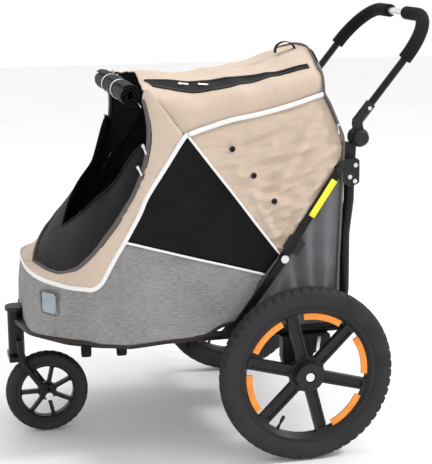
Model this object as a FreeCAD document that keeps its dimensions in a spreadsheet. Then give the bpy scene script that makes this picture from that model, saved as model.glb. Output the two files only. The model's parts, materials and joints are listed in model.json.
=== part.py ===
import FreeCAD, Part
import Sketcher
import math
import os

# A pet stroller: a fabric cabin on a folding tube frame, with one front caster and two large rear wheels.
# Frame of the part: +Z up, front of the stroller towards -X, its left side towards -Y, ground at z = 0.
# Millimetres. Most fabric pieces are plain closed solids here.

V = FreeCAD.Vector
LEFT, RIGHT = -1, 1
SIDES = (("left", LEFT), ("right", RIGHT))

DIMENSIONS = {
    # running gear
    "front_axle_x": -394, "wheelbase": 543, "rear_wheel_r": 200, "tyre_w": 45, "tyre_depth": 41.7,
    "rim_w": 34, "rim_depth": 9, "hub_r": 31, "hub_w": 62, "hub_recess_r": 13, "hub_recess": 10,
    "spoke_web": 16, "spoke_w": 26, "window_in_r": 40, "window_over": 10.8, "window_corner": 12,
    "spoke_rib": 5.5, "groove_depth": 4,
    "insert_depth": 14.2, "insert_t": 5, "axle_r": 6, "run_gap": 0.3, "button_travel": 4,
    "front_wheel_r": 97.6, "front_tyre_w": 36, "front_tyre_depth": 25, "front_rim_w": 28, "front_rim_depth": 7,
    "front_hub_r": 17, "front_hub_w": 44, "front_web": 12, "front_spoke_w": 9, "front_axle_r": 5,
    # caster
    "trail": 68, "head_r": 19, "head_bore": 12, "head_top": 23, "head_len": 105,
    "head_cap_r": 24, "head_cap_h": 9,
    "crown_gap": 3, "crown_h": 12, "crown_len": 38, "fork_rise": 42, "fork_leg_r": 7.5, "fork_half_w": 34,
    # base frame
    "ring_rise": 81, "ring_y": 250, "ring_r": 10, "ring_nose_y": 80, "ring_nose_x": 58, "plate_gap": 1,
    "carrier_len": 37, "carrier_ahead": 3, "carrier_w": 26, "tyre_gap": 30,
    "brake_x": 56, "brake_z": 48, "brake_tube_r": 8, "beam_r": 12, "beam_back": 12, "beam_rise": 42,
    "board_t": 6, "board_inset": 42, "cushion_t": 22,
    # legs, rails and fold
    "pivot_back": 112, "pivot_rise": 90, "pivot_r": 6, "leg_inset": 25, "leg_r": 12, "leg_top": 364,
    "leg_lean": 16,
    "rail_w": 17, "rail_t": 8, "rail_pin_r": 4.5, "rail_foot_x": -153, "rail_foot_z": 16,
    "rail_mid_x": -36, "rail_mid_z": 171, "rail_top_x": 92, "rail_top_z": 364,
    # handle
    "knob_x": 148, "knob_z": 431, "knuckle_r": 21, "knuckle_t": 11, "knob_h": 9, "knob_travel": 4.5,
    "handle_slope": 51.2,
    "handle_off": 24.8, "handle_len": 317, "handle_tube_r": 8.5, "sleeve_wall": 3.5, "sleeve_from": 24,
    "sleeve_to": 76, "foam_t": 7, "foam_from": 200, "handle_bend": 112, "bar_half": 52, "snap_r": 4.5,
    "snap_travel": 3,
    # cabin
    "skin": 4, "fabric_gap": 0.4, "cabin_inset": 4, "nose_x": -53, "flap_r": 22, "flap_inset": 51,
}

doc = FreeCAD.newDocument("PetStroller")
sheet = doc.addObject("Spreadsheet::Sheet", "Dims")
for row, (alias, size) in enumerate(DIMENSIONS.items(), start=1):
    sheet.set(f"A{row}", alias)
    sheet.set(f"B{row}", str(size))
    sheet.setAlias(f"B{row}", alias)
doc.recompute()
d = {alias: float(sheet.get(alias)) for alias in DIMENSIONS}

# ---------------------------------------------------------------- places worked out from the dimensions
xf = d["front_axle_x"]
xr = xf + d["wheelbase"]
ring_z = d["rear_wheel_r"] + d["ring_rise"]
ring_outer = d["ring_y"] + d["ring_r"]
leg_y = d["ring_y"] - d["leg_inset"]
cabin_half_w = d["ring_y"] - d["cabin_inset"]
lower_rail_y = ring_outer + 2 * d["plate_gap"] + d["rail_t"] / 2
upper_rail_y = lower_rail_y - d["rail_t"] - 2 * d["plate_gap"]
half_track = lower_rail_y + d["rail_t"] / 2 + d["tyre_gap"] + d["tyre_w"] / 2
fold_pivot = (xr + d["pivot_back"], d["rear_wheel_r"] + d["pivot_rise"])
leg_x = xr + d["pivot_back"] + d["leg_lean"]
leg_top_z = fold_pivot[1] + d["leg_top"]
rail_foot = (xr + d["rail_foot_x"], ring_z + d["rail_foot_z"])
rail_mid = (xr + d["rail_mid_x"], ring_z + d["rail_mid_z"])
rail_top = (xr + d["rail_top_x"], ring_z + d["rail_top_z"])
knob = (xr + d["knob_x"], ring_z + d["knob_z"])
slope = math.radians(d["handle_slope"])
handle_dir = V(math.cos(slope), 0, math.sin(slope))
handle_up = V(-math.sin(slope), 0, math.cos(slope))


# ---------------------------------------------------------------- helpers
def bound(text):
    """A sum of cell names and numbers as a spreadsheet expression."""
    words = text.split()
    return " ".join(w if w in "+-*/" or w[0].isdigit() else "Dims." + w for w in words)


def turned(axis):
    """The rotation that carries +Z onto an axis."""
    return FreeCAD.Rotation(V(0, 0, 1), axis)


def cylinder(label, radius, height, base, axis=V(0, 1, 0)):
    """A cylinder from a base point along an axis, its sizes bound to the sheet."""
    obj = doc.addObject("Part::Cylinder", label)
    obj.Label = label
    obj.setExpression("Radius", bound(radius))
    obj.setExpression("Height", bound(height))
    obj.Placement = FreeCAD.Placement(base, turned(axis))
    return obj


def feature(label, shape):
    """A sub-part whose shape comes from Part's own functions."""
    obj = doc.addObject("Part::Feature", label)
    obj.Label = label
    obj.Shape = shape
    return obj


def rounded(points, radii, closed=False):
    """Straight runs joined by tangent arcs; radii is one number or one for each corner."""
    count = len(points)
    if not isinstance(radii, (list, tuple)):
        radii = [radii] * count
    starts, ends, arcs = list(points), list(points), [None] * count
    corners = range(count) if closed else range(1, count - 1)
    for i in corners:
        corner, before, after = points[i], points[i - 1], points[(i + 1) % count]
        to_before = (before - corner).normalize()
        to_after = (after - corner).normalize()
        half = to_before.getAngle(to_after) / 2
        if radii[i] <= 0 or half > math.radians(89.9):
            continue
        reach = radii[i] / math.tan(half)
        inward = (to_before + to_after).normalize()
        centre = corner + inward * (radii[i] / math.sin(half))
        ends[i] = corner + to_before * reach
        starts[i] = corner + to_after * reach
        arcs[i] = Part.Arc(ends[i], centre - inward * radii[i], starts[i])
    curves = []
    for i in range(count if closed else count - 1):
        after = (i + 1) % count
        if starts[i].distanceToPoint(ends[after]) > 1e-6:
            curves.append(Part.LineSegment(starts[i], ends[after]))
        if arcs[after] is not None:
            curves.append(arcs[after])
    return curves


def tube(points, radius, bend, bore=0.0):
    """A round tube along a route of points with bends of one radius or one for each point."""
    path = Part.Wire([c.toShape() for c in rounded(points, bend)])
    along = points[1] - points[0]
    rings = [Part.Wire(Part.makeCircle(r, points[0], along)) for r in (radius, bore) if r > 0]
    solids = [Part.Wire(path).makePipeShell([ring], True, False) for ring in rings]
    return solids[0] if len(solids) == 1 else solids[0].cut(solids[1])


def slab(points, y_from, y_to, corner=0.0):
    """An outline in the XZ plane, corners rounded, as a solid between two y values."""
    flat = [V(x, min(y_from, y_to), z) for x, z in points]
    wire = Part.Wire([c.toShape() for c in rounded(flat, corner, closed=True)])
    return Part.Face(wire).extrude(V(0, abs(y_to - y_from), 0))


def disc(centre, radius, y_from, y_to):
    """A round solid about an axis along Y."""
    return Part.makeCylinder(radius, abs(y_to - y_from), V(centre[0], min(y_from, y_to), centre[1]), V(0, 1, 0))


def revolved(label, corners):
    """A PartDesign body turned about its own Z from corners (radius, height), each bound to the sheet."""
    body = doc.addObject("PartDesign::Body", label)
    body.Label = label
    plane = next(f for f in body.Origin.OriginFeatures if f.Role == "XZ_Plane")
    sketch = body.newObject("Sketcher::SketchObject", label + "_profile")
    sketch.AttachmentSupport = (plane, [""])
    sketch.MapMode = "FlatFace"
    count = len(corners)
    places = [V(measure(r), measure(h), 0) for r, h in corners]
    for i in range(count):
        sketch.addGeometry(Part.LineSegment(places[i], places[(i + 1) % count]), False)
    for i in range(count):
        sketch.addConstraint(Sketcher.Constraint("Coincident", i, 2, (i + 1) % count, 1))
    for i, (r, h) in enumerate(corners):
        for kind, text, size in (("DistanceX", r, places[i].x), ("DistanceY", h, places[i].y)):
            index = sketch.addConstraint(Sketcher.Constraint(kind, -1, 1, i, 1, size))
            sketch.setExpression(f"Constraints[{index}]", bound(text))
    turn = body.newObject("PartDesign::Revolution", label + "_turn")
    turn.Profile = sketch
    turn.ReferenceAxis = (sketch, ["V_Axis"])
    turn.Angle = 360
    return body


def measure(text):
    """The number that a sum of cell names, numbers, products and quotients stands for."""
    total, term, sign, action = 0.0, None, 1.0, None
    for word in text.split():
        if word in "+-":
            total += sign * term if term is not None else 0.0
            term, sign = None, 1.0 if word == "+" else -1.0
        elif word in "*/":
            action = word
        else:
            size = float(word) if word[0].isdigit() else d[word]
            if term is None:
                term = size
            else:
                term = term * size if action == "*" else term / size
    return total + sign * term


def polar_pattern(body, original, count):
    """Repeats a feature of a body about the body's own Z."""
    axis = next(f for f in body.Origin.OriginFeatures if f.Role == "Z_Axis")
    pattern = body.newObject("PartDesign::PolarPattern", body.Label + "_pattern")
    pattern.Originals = [original]
    pattern.Axis = (axis, [""])
    pattern.Angle = 360
    pattern.Occurrences = count
    body.Tip = pattern


def spoke_window(body, in_r, out_r, spoke_w, count, corner):
    """Cuts one rounded window between two spokes and repeats it round the wheel."""
    half_pitch = math.pi / count
    in_half = in_r * math.tan(half_pitch) - spoke_w / (2 * math.cos(half_pitch))
    out_half = out_r * math.sin(half_pitch) - spoke_w / 2 * math.cos(half_pitch)
    out_x = math.sqrt(out_r ** 2 - out_half ** 2)
    outline = [V(in_r, -in_half, 0), V(out_x, -out_half, 0), V(out_r * 1.03, 0, 0), V(out_x, out_half, 0),
               V(in_r, in_half, 0)]
    radii = [min(corner, in_half * 0.8), corner, out_r * 0.8, corner, min(corner, in_half * 0.8)]
    plane = next(f for f in body.Origin.OriginFeatures if f.Role == "XY_Plane")
    sketch = body.newObject("Sketcher::SketchObject", body.Label + "_window")
    sketch.AttachmentSupport = (plane, [""])
    sketch.MapMode = "FlatFace"
    for curve in rounded(outline, radii, closed=True):
        sketch.addGeometry(curve, False)
    doc.recompute()
    pocket = body.newObject("PartDesign::Pocket", body.Label + "_pocket")
    pocket.Profile = sketch
    pocket.Type = "ThroughAll"
    pocket.Midplane = True
    polar_pattern(body, pocket, count)


def spoke_groove(body, count):
    """Sinks a groove along the outer face of each spoke, leaving a rib on both sides."""
    middle = math.pi / count
    run, across = V(math.cos(middle), math.sin(middle), 0), V(-math.sin(middle), math.cos(middle), 0)
    half = d["spoke_w"] / 2 - d["spoke_rib"]
    start, end = run * (d["hub_r"] + 9), run * (measure(RIM_SEAT) - 7)
    outline = [start - across * half, end - across * half, end + across * half, start + across * half]
    plane = next(f for f in body.Origin.OriginFeatures if f.Role == "XY_Plane")
    sketch = body.newObject("Sketcher::SketchObject", body.Label + "_groove")
    sketch.AttachmentSupport = (plane, [""])
    sketch.MapMode = "FlatFace"
    sketch.AttachmentOffset = FreeCAD.Placement(V(0, 0, d["spoke_web"] / 2), FreeCAD.Rotation())
    for curve in rounded(outline, 4, closed=True):
        sketch.addGeometry(curve, False)
    doc.recompute()
    pocket = body.newObject("PartDesign::Pocket", body.Label + "_groove_pocket")
    pocket.Profile = sketch
    pocket.Length = d["groove_depth"]
    pocket.setExpression("Length", bound("groove_depth"))
    polar_pattern(body, pocket, count)


# ---------------------------------------------------------------- wheels
SPOKES = 6
FRONT_SPOKES = 7
FIRST_WINDOW = 75
RIM_R = "rear_wheel_r - tyre_depth"
RIM_SEAT = "rear_wheel_r - tyre_depth - rim_depth * 1.9"
FRONT_RIM_R = "front_wheel_r - front_tyre_depth"


def tyre(label, outer, depth, width, seat):
    """A tyre with a rounded crown, seated on the rim's outer face."""
    inner = f"{outer} - {depth}"
    return revolved(label, [
        (inner, f"0 - {seat} / 2"), (f"{outer} - {depth} * 0.55", f"0 - {width} / 2"),
        (f"{outer} - {depth} * 0.3", f"0 - {width} / 2"), (f"{outer} - {depth} * 0.08", f"0 - {width} * 0.36"),
        (outer, f"0 - {width} * 0.17"), (outer, f"{width} * 0.17"),
        (f"{outer} - {depth} * 0.08", f"{width} * 0.36"), (f"{outer} - {depth} * 0.3", f"{width} / 2"),
        (f"{outer} - {depth} * 0.55", f"{width} / 2"), (inner, f"{seat} / 2")])


def rim(label, outer, width, depth, web, hub, hub_width, bore, recess_r, recess):
    """A small wheel body, turned in one piece: hub with a recess in its outer face, web and rim channel."""
    floor = f"{outer} - {depth}"
    shoulder = f"{outer} - {depth} * 1.9"
    return revolved(label, [
        (bore, f"0 - {hub_width} / 2"), (hub, f"0 - {hub_width} / 2"), (f"{hub} * 1.1", f"0 - {web} / 2"),
        (shoulder, f"0 - {web} / 2"), (floor, f"0 - {width} / 2"), (outer, f"0 - {width} / 2"),
        (outer, f"{width} / 2"), (floor, f"{width} / 2"), (shoulder, f"{web} / 2"),
        (f"{hub} * 1.1", f"{web} / 2"), (hub, f"{hub_width} / 2"), (recess_r, f"{hub_width} / 2"),
        (recess_r, f"{hub_width} / 2 - {recess}"), (bore, f"{hub_width} / 2 - {recess}")])


def rear_rim(label):
    """The rear wheel's rim channel that carries the tyre."""
    floor = f"{RIM_R} - rim_depth"
    return revolved(label, [
        (RIM_SEAT, "0 - spoke_web / 2"), (floor, "0 - rim_w / 2"), (RIM_R, "0 - rim_w / 2"),
        (RIM_R, "rim_w / 2"), (floor, "rim_w / 2"), (RIM_SEAT, "spoke_web / 2")])


def rear_spokes(label):
    """The rear wheel's hub and six grooved spokes, turned as a disc and then cut open."""
    body = revolved(label, [
        ("axle_r + run_gap", "0 - hub_w / 2"), ("hub_r", "0 - hub_w / 2"), ("hub_r * 1.1", "0 - spoke_web / 2"),
        (RIM_SEAT, "0 - spoke_web / 2"), (RIM_SEAT, "spoke_web / 2"), ("hub_r * 1.1", "spoke_web / 2"),
        ("hub_r", "hub_w / 2"), ("hub_recess_r", "hub_w / 2"), ("hub_recess_r", "hub_w / 2 - hub_recess"),
        ("axle_r + run_gap", "hub_w / 2 - hub_recess")])
    window_out = measure(RIM_SEAT) + d["window_over"]
    spoke_window(body, d["window_in_r"], window_out, d["spoke_w"], SPOKES, d["window_corner"])
    spoke_groove(body, SPOKES)
    return body


def rim_inserts(side):
    """Five coloured arcs that clip to the outer end of the spoke windows; the sixth holds the valve."""
    out_r = measure(RIM_SEAT)
    in_r = out_r - d["insert_depth"]
    arcs = []
    for k in range(1, SPOKES):
        middle = math.radians(FIRST_WINDOW + 180 + k * 360 / SPOKES) * -side
        arcs.append(ring_sector(in_r, out_r, middle, math.radians(19), d["insert_t"]))
    compound = Part.makeCompound(arcs)
    compound.Placement = wheel_place(xr, half_track * side, d["rear_wheel_r"], side)
    compound.translate(V(0, side * (d["spoke_web"] / 2 - d["insert_t"] + 1), 0))
    return feature(f"{'left' if side == LEFT else 'right'}_rim_inserts", compound)


def ring_sector(in_r, out_r, middle, half, thick):
    """A flat arc-shaped bar centred on an angle, in the XY plane."""
    def at(r, angle):
        return V(r * math.cos(angle), r * math.sin(angle), 0)
    outer = Part.Arc(at(out_r, middle - half), at(out_r, middle), at(out_r, middle + half))
    inner = Part.Arc(at(in_r, middle + half), at(in_r, middle), at(in_r, middle - half))
    edges = [outer, Part.LineSegment(at(out_r, middle + half), at(in_r, middle + half)), inner,
             Part.LineSegment(at(in_r, middle - half), at(out_r, middle - half))]
    return Part.Face(Part.Wire([e.toShape() for e in edges])).extrude(V(0, 0, thick))


def wheel_place(x, y, z, side):
    """Turns a wheel's own +Z outwards and puts its centre on the axle."""
    return FreeCAD.Placement(V(x, y, z), FreeCAD.Rotation(V(1, 0, 0), -90 * side))


def make_wheels():
    """Both rear wheels and the caster wheel."""
    for name, side in SIDES:
        place = wheel_place(xr, half_track * side, d["rear_wheel_r"], side)
        rubber = tyre(f"{name}_rear_tyre", "rear_wheel_r", "tyre_depth", "tyre_w", "rim_w")
        rubber.Placement = place
        channel = rear_rim(f"{name}_rear_rim")
        channel.Placement = place
        spokes = rear_spokes(f"{name}_rear_spokes")
        place_in = FreeCAD.Placement(V(0, 0, 0), FreeCAD.Rotation(V(0, 0, 1), FIRST_WINDOW * -side))
        spokes.Placement = place.multiply(place_in)
    rubber = tyre("front_tyre", "front_wheel_r", "front_tyre_depth", "front_tyre_w", "front_rim_w")
    rubber.Placement = wheel_place(xf, 0, d["front_wheel_r"], LEFT)
    small = rim("front_rim", FRONT_RIM_R, "front_rim_w", "front_rim_depth", "front_web", "front_hub_r",
                "front_hub_w", "front_axle_r + run_gap", "front_axle_r + 5", "2")
    window_out = d["front_wheel_r"] - d["front_tyre_depth"] - d["front_rim_depth"] * 1.5
    spoke_window(small, d["front_hub_r"] + 5, window_out, d["front_spoke_w"], FRONT_SPOKES, 4)
    small.Placement = wheel_place(xf, 0, d["front_wheel_r"], LEFT)


# ---------------------------------------------------------------- caster
stem_x = xf - d["trail"]
crown_z = ring_z + d["head_top"] - d["head_len"] - d["crown_gap"]


def make_caster():
    """Fork, its stem in the head tube, and the front axle."""
    wheel_z = d["front_wheel_r"]
    half = d["fork_half_w"]
    fork = Part.makeBox(d["crown_len"], 2 * half, d["crown_h"], V(stem_x - 20, -half, crown_z - d["crown_h"]))
    for side in (LEFT, RIGHT):
        route = [V(stem_x + 4, side * half, crown_z + d["fork_rise"]),
                 V(stem_x + 8, side * half, crown_z - d["crown_h"]), V(xf, side * half, wheel_z)]
        fork = fork.fuse(tube(route, d["fork_leg_r"], 50))
        fork = fork.fuse(disc((xf, wheel_z), d["fork_leg_r"] + 3, side * (half - 6), side * (half + 7)))
    axle_hole = disc((xf, wheel_z), d["front_axle_r"], -2 * half, 2 * half)
    feature("front_fork", fork.cut(axle_hole))
    stem_len = d["head_len"] + d["crown_gap"]
    stem = Part.makeCylinder(d["head_bore"] - d["run_gap"], stem_len, V(stem_x, 0, crown_z))
    feature("fork_stem", stem)
    cap_at = half + d["fork_leg_r"] + 0.3
    bolt = disc((xf, wheel_z), d["front_axle_r"] - 0.02, -cap_at, cap_at)
    caps = [disc((xf, wheel_z), 9, side * cap_at, side * (cap_at + 5)) for side in (LEFT, RIGHT)]
    feature("front_axle", bolt.fuse(caps).removeSplitter())


# ---------------------------------------------------------------- base frame
carrier_x = (xr - d["carrier_ahead"] - d["carrier_len"], xr - d["carrier_ahead"])
brake_pivot = (xr + d["brake_x"], d["rear_wheel_r"] + d["brake_z"])
carrier_in = d["ring_y"] - 4
carrier_out = carrier_in + d["carrier_w"]
beam = (xr + d["beam_back"] + d["beam_r"], d["rear_wheel_r"] + d["beam_rise"])


cross_x = rail_foot[0] + 20
RING_BENDS = [0, 250, 120, 90, 70, 30, 30, 70, 90, 120, 250, 0]


def ring_route():
    """The base tube in plan: straight sides that close round the nose, starting at the left leg."""
    side_points = [(fold_pivot[0] + 12, d["ring_y"]), (xf + 225, d["ring_y"]), (xf + 112, d["ring_y"] + 3),
                   (xf + 30, d["ring_y"] - 46), (xf - d["ring_nose_x"] + 14, d["ring_nose_y"] + 30),
                   (xf - d["ring_nose_x"] - 6, 20)]
    left = [V(x, -y, ring_z) for x, y in side_points]
    right = [V(x, y, ring_z) for x, y in reversed(side_points)]
    return left + right


def make_base():
    """Ring tube with its cross tube, head tube and the brackets that bolt to them."""
    ring = tube(ring_route(), d["ring_r"], RING_BENDS)
    cross = disc((cross_x, ring_z), d["ring_r"] - 2, -d["ring_y"], d["ring_y"])
    frame = ring.fuse(cross)
    for side in (LEFT, RIGHT):
        lug = slab([(fold_pivot[0] - 18, ring_z - 8), (fold_pivot[0] + 16, ring_z - 8),
                    (fold_pivot[0] + 16, fold_pivot[1] + 14), (fold_pivot[0] - 18, fold_pivot[1] + 14)],
                   side * (leg_y + d["leg_r"] + d["plate_gap"]), side * (d["ring_y"] + 4), 6)
        frame = frame.fuse(lug)
        frame = frame.cut(disc(fold_pivot, d["pivot_r"], side * (leg_y - 20), side * (d["ring_y"] + 20)))
    head = Part.makeCylinder(d["head_r"], d["head_len"], V(stem_x, 0, ring_z + d["head_top"] - d["head_len"]))
    frame = frame.fuse(head)
    frame = frame.cut(Part.makeCylinder(d["head_bore"], 400, V(stem_x, 0, 0)))
    feature("base_frame", frame)
    cap_z = ring_z + d["head_top"]
    cylinder("head_cap", "head_cap_r", "head_cap_h", V(stem_x, 0, cap_z), V(0, 0, 1))
    feature("rear_axle_tube", disc(beam, d["beam_r"], -carrier_in, carrier_in))
    for name, side in SIDES:
        make_carrier(name, side)
        feature(f"{name}_rail_foot", rail_foot_bracket(side))


def make_carrier(name, side):
    """The block that takes the wheel axle, with the rounded brake plate behind it."""
    under = ring_z - d["ring_r"]
    block = slab([(carrier_x[0], under), (carrier_x[0], d["rear_wheel_r"] + 22),
                  (carrier_x[0] + 12, under - 96),
                  (carrier_x[1] + 26, under - 96), (carrier_x[1] + 26, under - 62),
                  (brake_pivot[0] - 20, brake_pivot[1] - 18), (brake_pivot[0] + 17, brake_pivot[1] - 18),
                  (brake_pivot[0] + 17, under), (carrier_x[1] + 10, under)],
                 side * carrier_in, side * carrier_out, [2, 8, 8, 8, 6, 6, 14, 2, 2])
    block = block.cut(disc((xr, d["rear_wheel_r"]), d["axle_r"], 0, side * 400))
    block = block.cut(disc(brake_pivot, d["brake_tube_r"] + d["run_gap"], 0, side * 400))
    feature(f"{name}_axle_carrier", block)
    hub_face = half_track + d["hub_w"] / 2
    out = hub_face - d["hub_recess"] + 1
    axle_at = (xr, d["rear_wheel_r"])
    axle = disc(axle_at, d["axle_r"] - 0.02, side * (carrier_in + 4), side * out)
    axle = axle.cut(disc(axle_at, 3 + d["run_gap"], side * (out - 14), side * out))
    feature(f"{name}_wheel_axle", axle)
    root = out + d["button_travel"] + 0.3
    button = disc(axle_at, d["hub_recess_r"] - 3, side * root, side * (hub_face - 1))
    stem = disc(axle_at, 3, side * (out - 9), side * root)
    feature(f"{name}_wheel_release", button.fuse(stem).removeSplitter())
    spring = slab([(beam[0] + 18, under - 4), (beam[0] + 26, under - 4), (beam[0] + 20, under - 52),
                   (beam[0] + 13, under - 52)], side * (carrier_out + 0.02), side * (carrier_out + 2.4), 2)
    springs.append(spring)


def rail_foot_bracket(side):
    """The clamp on the ring that carries the lower end of the folding rail."""
    x, z = rail_foot
    face = lower_rail_y - d["rail_t"] / 2 - d["plate_gap"] / 2
    clamp = slab([(x - 24, ring_z - 6), (x + 18, ring_z - 6), (x + 18, ring_z + 10), (x + 10, z + 9),
                  (x - 10, z + 9), (x - 24, ring_z + 10)], side * d["ring_y"], side * face, 5)
    ring_hole = Part.makeCylinder(d["ring_r"], 400, V(x - 200, side * d["ring_y"], ring_z), V(1, 0, 0))
    clamp = clamp.cut(ring_hole)
    pin = disc(rail_foot, d["rail_pin_r"], side * (face - 2), side * (lower_rail_y + d["rail_t"] / 2 + 1))
    head = disc(rail_foot, d["rail_pin_r"] + 3.5, side * (lower_rail_y + d["rail_t"] / 2 + 1),
                side * (lower_rail_y + d["rail_t"] / 2 + 4))
    return clamp.fuse([pin, head]).removeSplitter()


def make_brake():
    """The foot brake: a tube between the carriers with a pedal behind it."""
    reach = carrier_in + d["carrier_w"] - 4
    bar = disc(brake_pivot, d["brake_tube_r"], -reach, reach)
    arm = slab([(brake_pivot[0] - 6, brake_pivot[1] + 6), (brake_pivot[0] - 2, brake_pivot[1] - 7),
                (brake_pivot[0] + 70, brake_pivot[1] - 22), (brake_pivot[0] + 74, brake_pivot[1] - 10)],
               -62, 62, 3)
    feature("brake_pedal", bar.fuse(arm).removeSplitter())


# ---------------------------------------------------------------- legs
def leg_route(side):
    """Centre line of one leg from the fold pivot up to its hinge block."""
    y = side * leg_y
    return [V(fold_pivot[0], y, fold_pivot[1]), V(fold_pivot[0] + 8, y, fold_pivot[1] + 73),
            V(leg_x - 9, y, fold_pivot[1] + 202), V(leg_x, y, fold_pivot[1] + 281), V(leg_x, y, leg_top_z)]


def make_legs():
    """Both legs, their hinge blocks and the rivets through them."""
    rivets = []
    pins = []
    for name, side in SIDES:
        y = side * leg_y
        leg = tube(leg_route(side), d["leg_r"], [0, 60, 90, 90, 0])
        eye = disc(fold_pivot, d["leg_r"] + 4, y - d["leg_r"] + 2, y + d["leg_r"] - 2)
        bore = disc(fold_pivot, d["pivot_r"] + d["run_gap"], y - 40, y + 40)
        feature(f"{name}_leg", leg.fuse(eye).cut(bore))
        pin_in = leg_y - d["leg_r"] - 4
        pin = disc(fold_pivot, d["pivot_r"] - 0.02, side * pin_in, side * (d["ring_y"] + 6))
        head = disc(fold_pivot, d["pivot_r"] + 5, side * (pin_in - 4), side * pin_in)
        pins.append(pin.fuse(head).removeSplitter())
        feature(f"{name}_hinge_block", hinge_block(side))
        rivet_y = side * (upper_rail_y - d["rail_t"] / 2 - d["plate_gap"])
        spots = ((leg_x + 5, rail_top[1] + 8), (leg_x - 8, rail_top[1] - 18), (leg_x + 4, rail_top[1] - 28))
        for x, z in spots:
            rivets.append(disc((x, z), 5, rivet_y, rivet_y + side * 2.5))
    feature("fold_pivots", Part.makeCompound(pins))
    feature("hinge_rivets", Part.makeCompound(rivets))


def hinge_block(side):
    """The block at the top of a leg: socket, cheek for the rail hinge and the lower half of the knuckle."""
    inner = leg_y - d["leg_r"] - 3
    outer = upper_rail_y - d["rail_t"] / 2 - d["plate_gap"]
    stem = slab([(leg_x - 14, leg_top_z), (leg_x + 14, leg_top_z), (leg_x + 16, knob[1] - 14),
                 (leg_x - 10, knob[1] - 10)], side * inner, side * (leg_y - d["plate_gap"] / 2), 4)
    ear = disc(knob, d["knuckle_r"], side * inner, side * (leg_y - d["plate_gap"] / 2))
    cheek = slab([(rail_top[0] - 11, rail_top[1] + 6), (rail_top[0] - 4, rail_top[1] - 16),
                  (leg_x - 8, rail_top[1] - 42), (leg_x + 13, rail_top[1] - 34), (leg_x + 15, rail_top[1] + 24),
                  (rail_top[0] + 10, rail_top[1] + 20)],
                 side * (leg_y + d["leg_r"] - 4), side * outer, 8)
    socket = slab([(leg_x - 16, rail_top[1] - 34), (leg_x + 15, rail_top[1] - 34), (leg_x + 15, leg_top_z + 2),
                   (leg_x - 16, leg_top_z + 2)], side * inner, side * outer, 5)
    body = stem.fuse([ear, cheek, socket])
    body = body.cut(tube(leg_route(side), d["leg_r"], [0, 60, 90, 90, 0]))
    pin = disc(rail_top, d["rail_pin_r"], side * (outer - 4), side * (upper_rail_y + d["rail_t"] / 2 + 1))
    head = disc(rail_top, d["rail_pin_r"] + 3.5, side * (upper_rail_y + d["rail_t"] / 2 + 1),
                side * (upper_rail_y + d["rail_t"] / 2 + 4))
    return body.fuse([pin, head]).removeSplitter()


# ---------------------------------------------------------------- folding rails
def link(start, end, width, y, thick):
    """A flat link with round ends between two pivots, centred on a y value."""
    a, b = V(start[0], 0, start[1]), V(end[0], 0, end[1])
    along = (b - a).normalize()
    across = V(-along.z, 0, along.x) * (width / 2)
    bar = slab([((a + across).x, (a + across).z), ((b + across).x, (b + across).z),
                ((b - across).x, (b - across).z), ((a - across).x, (a - across).z)],
               y - thick / 2, y + thick / 2)
    ends = [disc(p, width / 2, y - thick / 2, y + thick / 2) for p in (start, end)]
    return bar.fuse(ends).removeSplitter()


def make_rails():
    """Upper and lower folding rails, the rivets at the knee and the sliding locks."""
    rivets = []
    for name, side in SIDES:
        upper_y, lower_y = side * upper_rail_y, side * lower_rail_y
        bore = d["rail_pin_r"] + d["run_gap"]
        upper = link(rail_top, rail_mid, d["rail_w"], upper_y, d["rail_t"])
        upper = upper.cut(disc(rail_top, bore, upper_y - 9, upper_y + 9))
        feature(f"{name}_upper_rail", upper)
        lower = link(rail_mid, rail_foot, d["rail_w"], lower_y, d["rail_t"])
        lower = lower.cut(disc(rail_foot, bore, lower_y - 9, lower_y + 9))
        feature(f"{name}_lower_rail", lower)
        face = side * (lower_rail_y + d["rail_t"] / 2)
        rivets.append(disc(rail_mid, 9, face, face + side * 3))
        along = V(rail_top[0] - rail_mid[0], 0, rail_top[1] - rail_mid[1]).normalize()
        spot = V(rail_mid[0], 0, rail_mid[1]) + along * 22
        lock = Part.makeBox(34, d["rail_t"] + 2, 26, V(-2, -(d["rail_t"] + 2) / 2, -13))
        lock = lock.cut(Part.makeBox(60, 40, d["rail_w"] + 1, V(-10, -20, -(d["rail_w"] + 1) / 2)))
        back = Part.makeBox(34, d["rail_t"] + 2, 14, V(-2, -(d["rail_t"] + 2) / 2, -13 - 12))
        lock = lock.fuse(back)
        inner = -side * (d["rail_t"] / 2 + 1.4)
        plate = Part.makeBox(34, 2, 38, V(-2, inner - 1, -25))
        lock = lock.fuse(plate).removeSplitter()
        turn = FreeCAD.Rotation(V(0, 1, 0), -math.degrees(math.atan2(along.z, along.x)))
        lock.Placement = FreeCAD.Placement(V(spot.x, upper_y, spot.z), turn)
        feature(f"{name}_rail_lock", lock)
    feature("rail_rivets", Part.makeCompound(rivets))


# ---------------------------------------------------------------- handle
handle_base = V(knob[0], 0, knob[1]) + handle_up * d["handle_off"]


def handle_point(along, y):
    """A point of the handle's plane, measured from the knuckle along the slope."""
    return handle_base + handle_dir * along + V(0, y, 0)


def handle_part(from_len, to_y, side, radius, bore=0.0):
    """The stretch of the handle from a length above the knuckle round its bend to a y value."""
    y = side * leg_y
    route = [handle_point(from_len, y), handle_point(d["handle_len"], y),
             handle_point(d["handle_len"], side * to_y)]
    return tube(route, radius, d["handle_bend"], bore)


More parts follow.
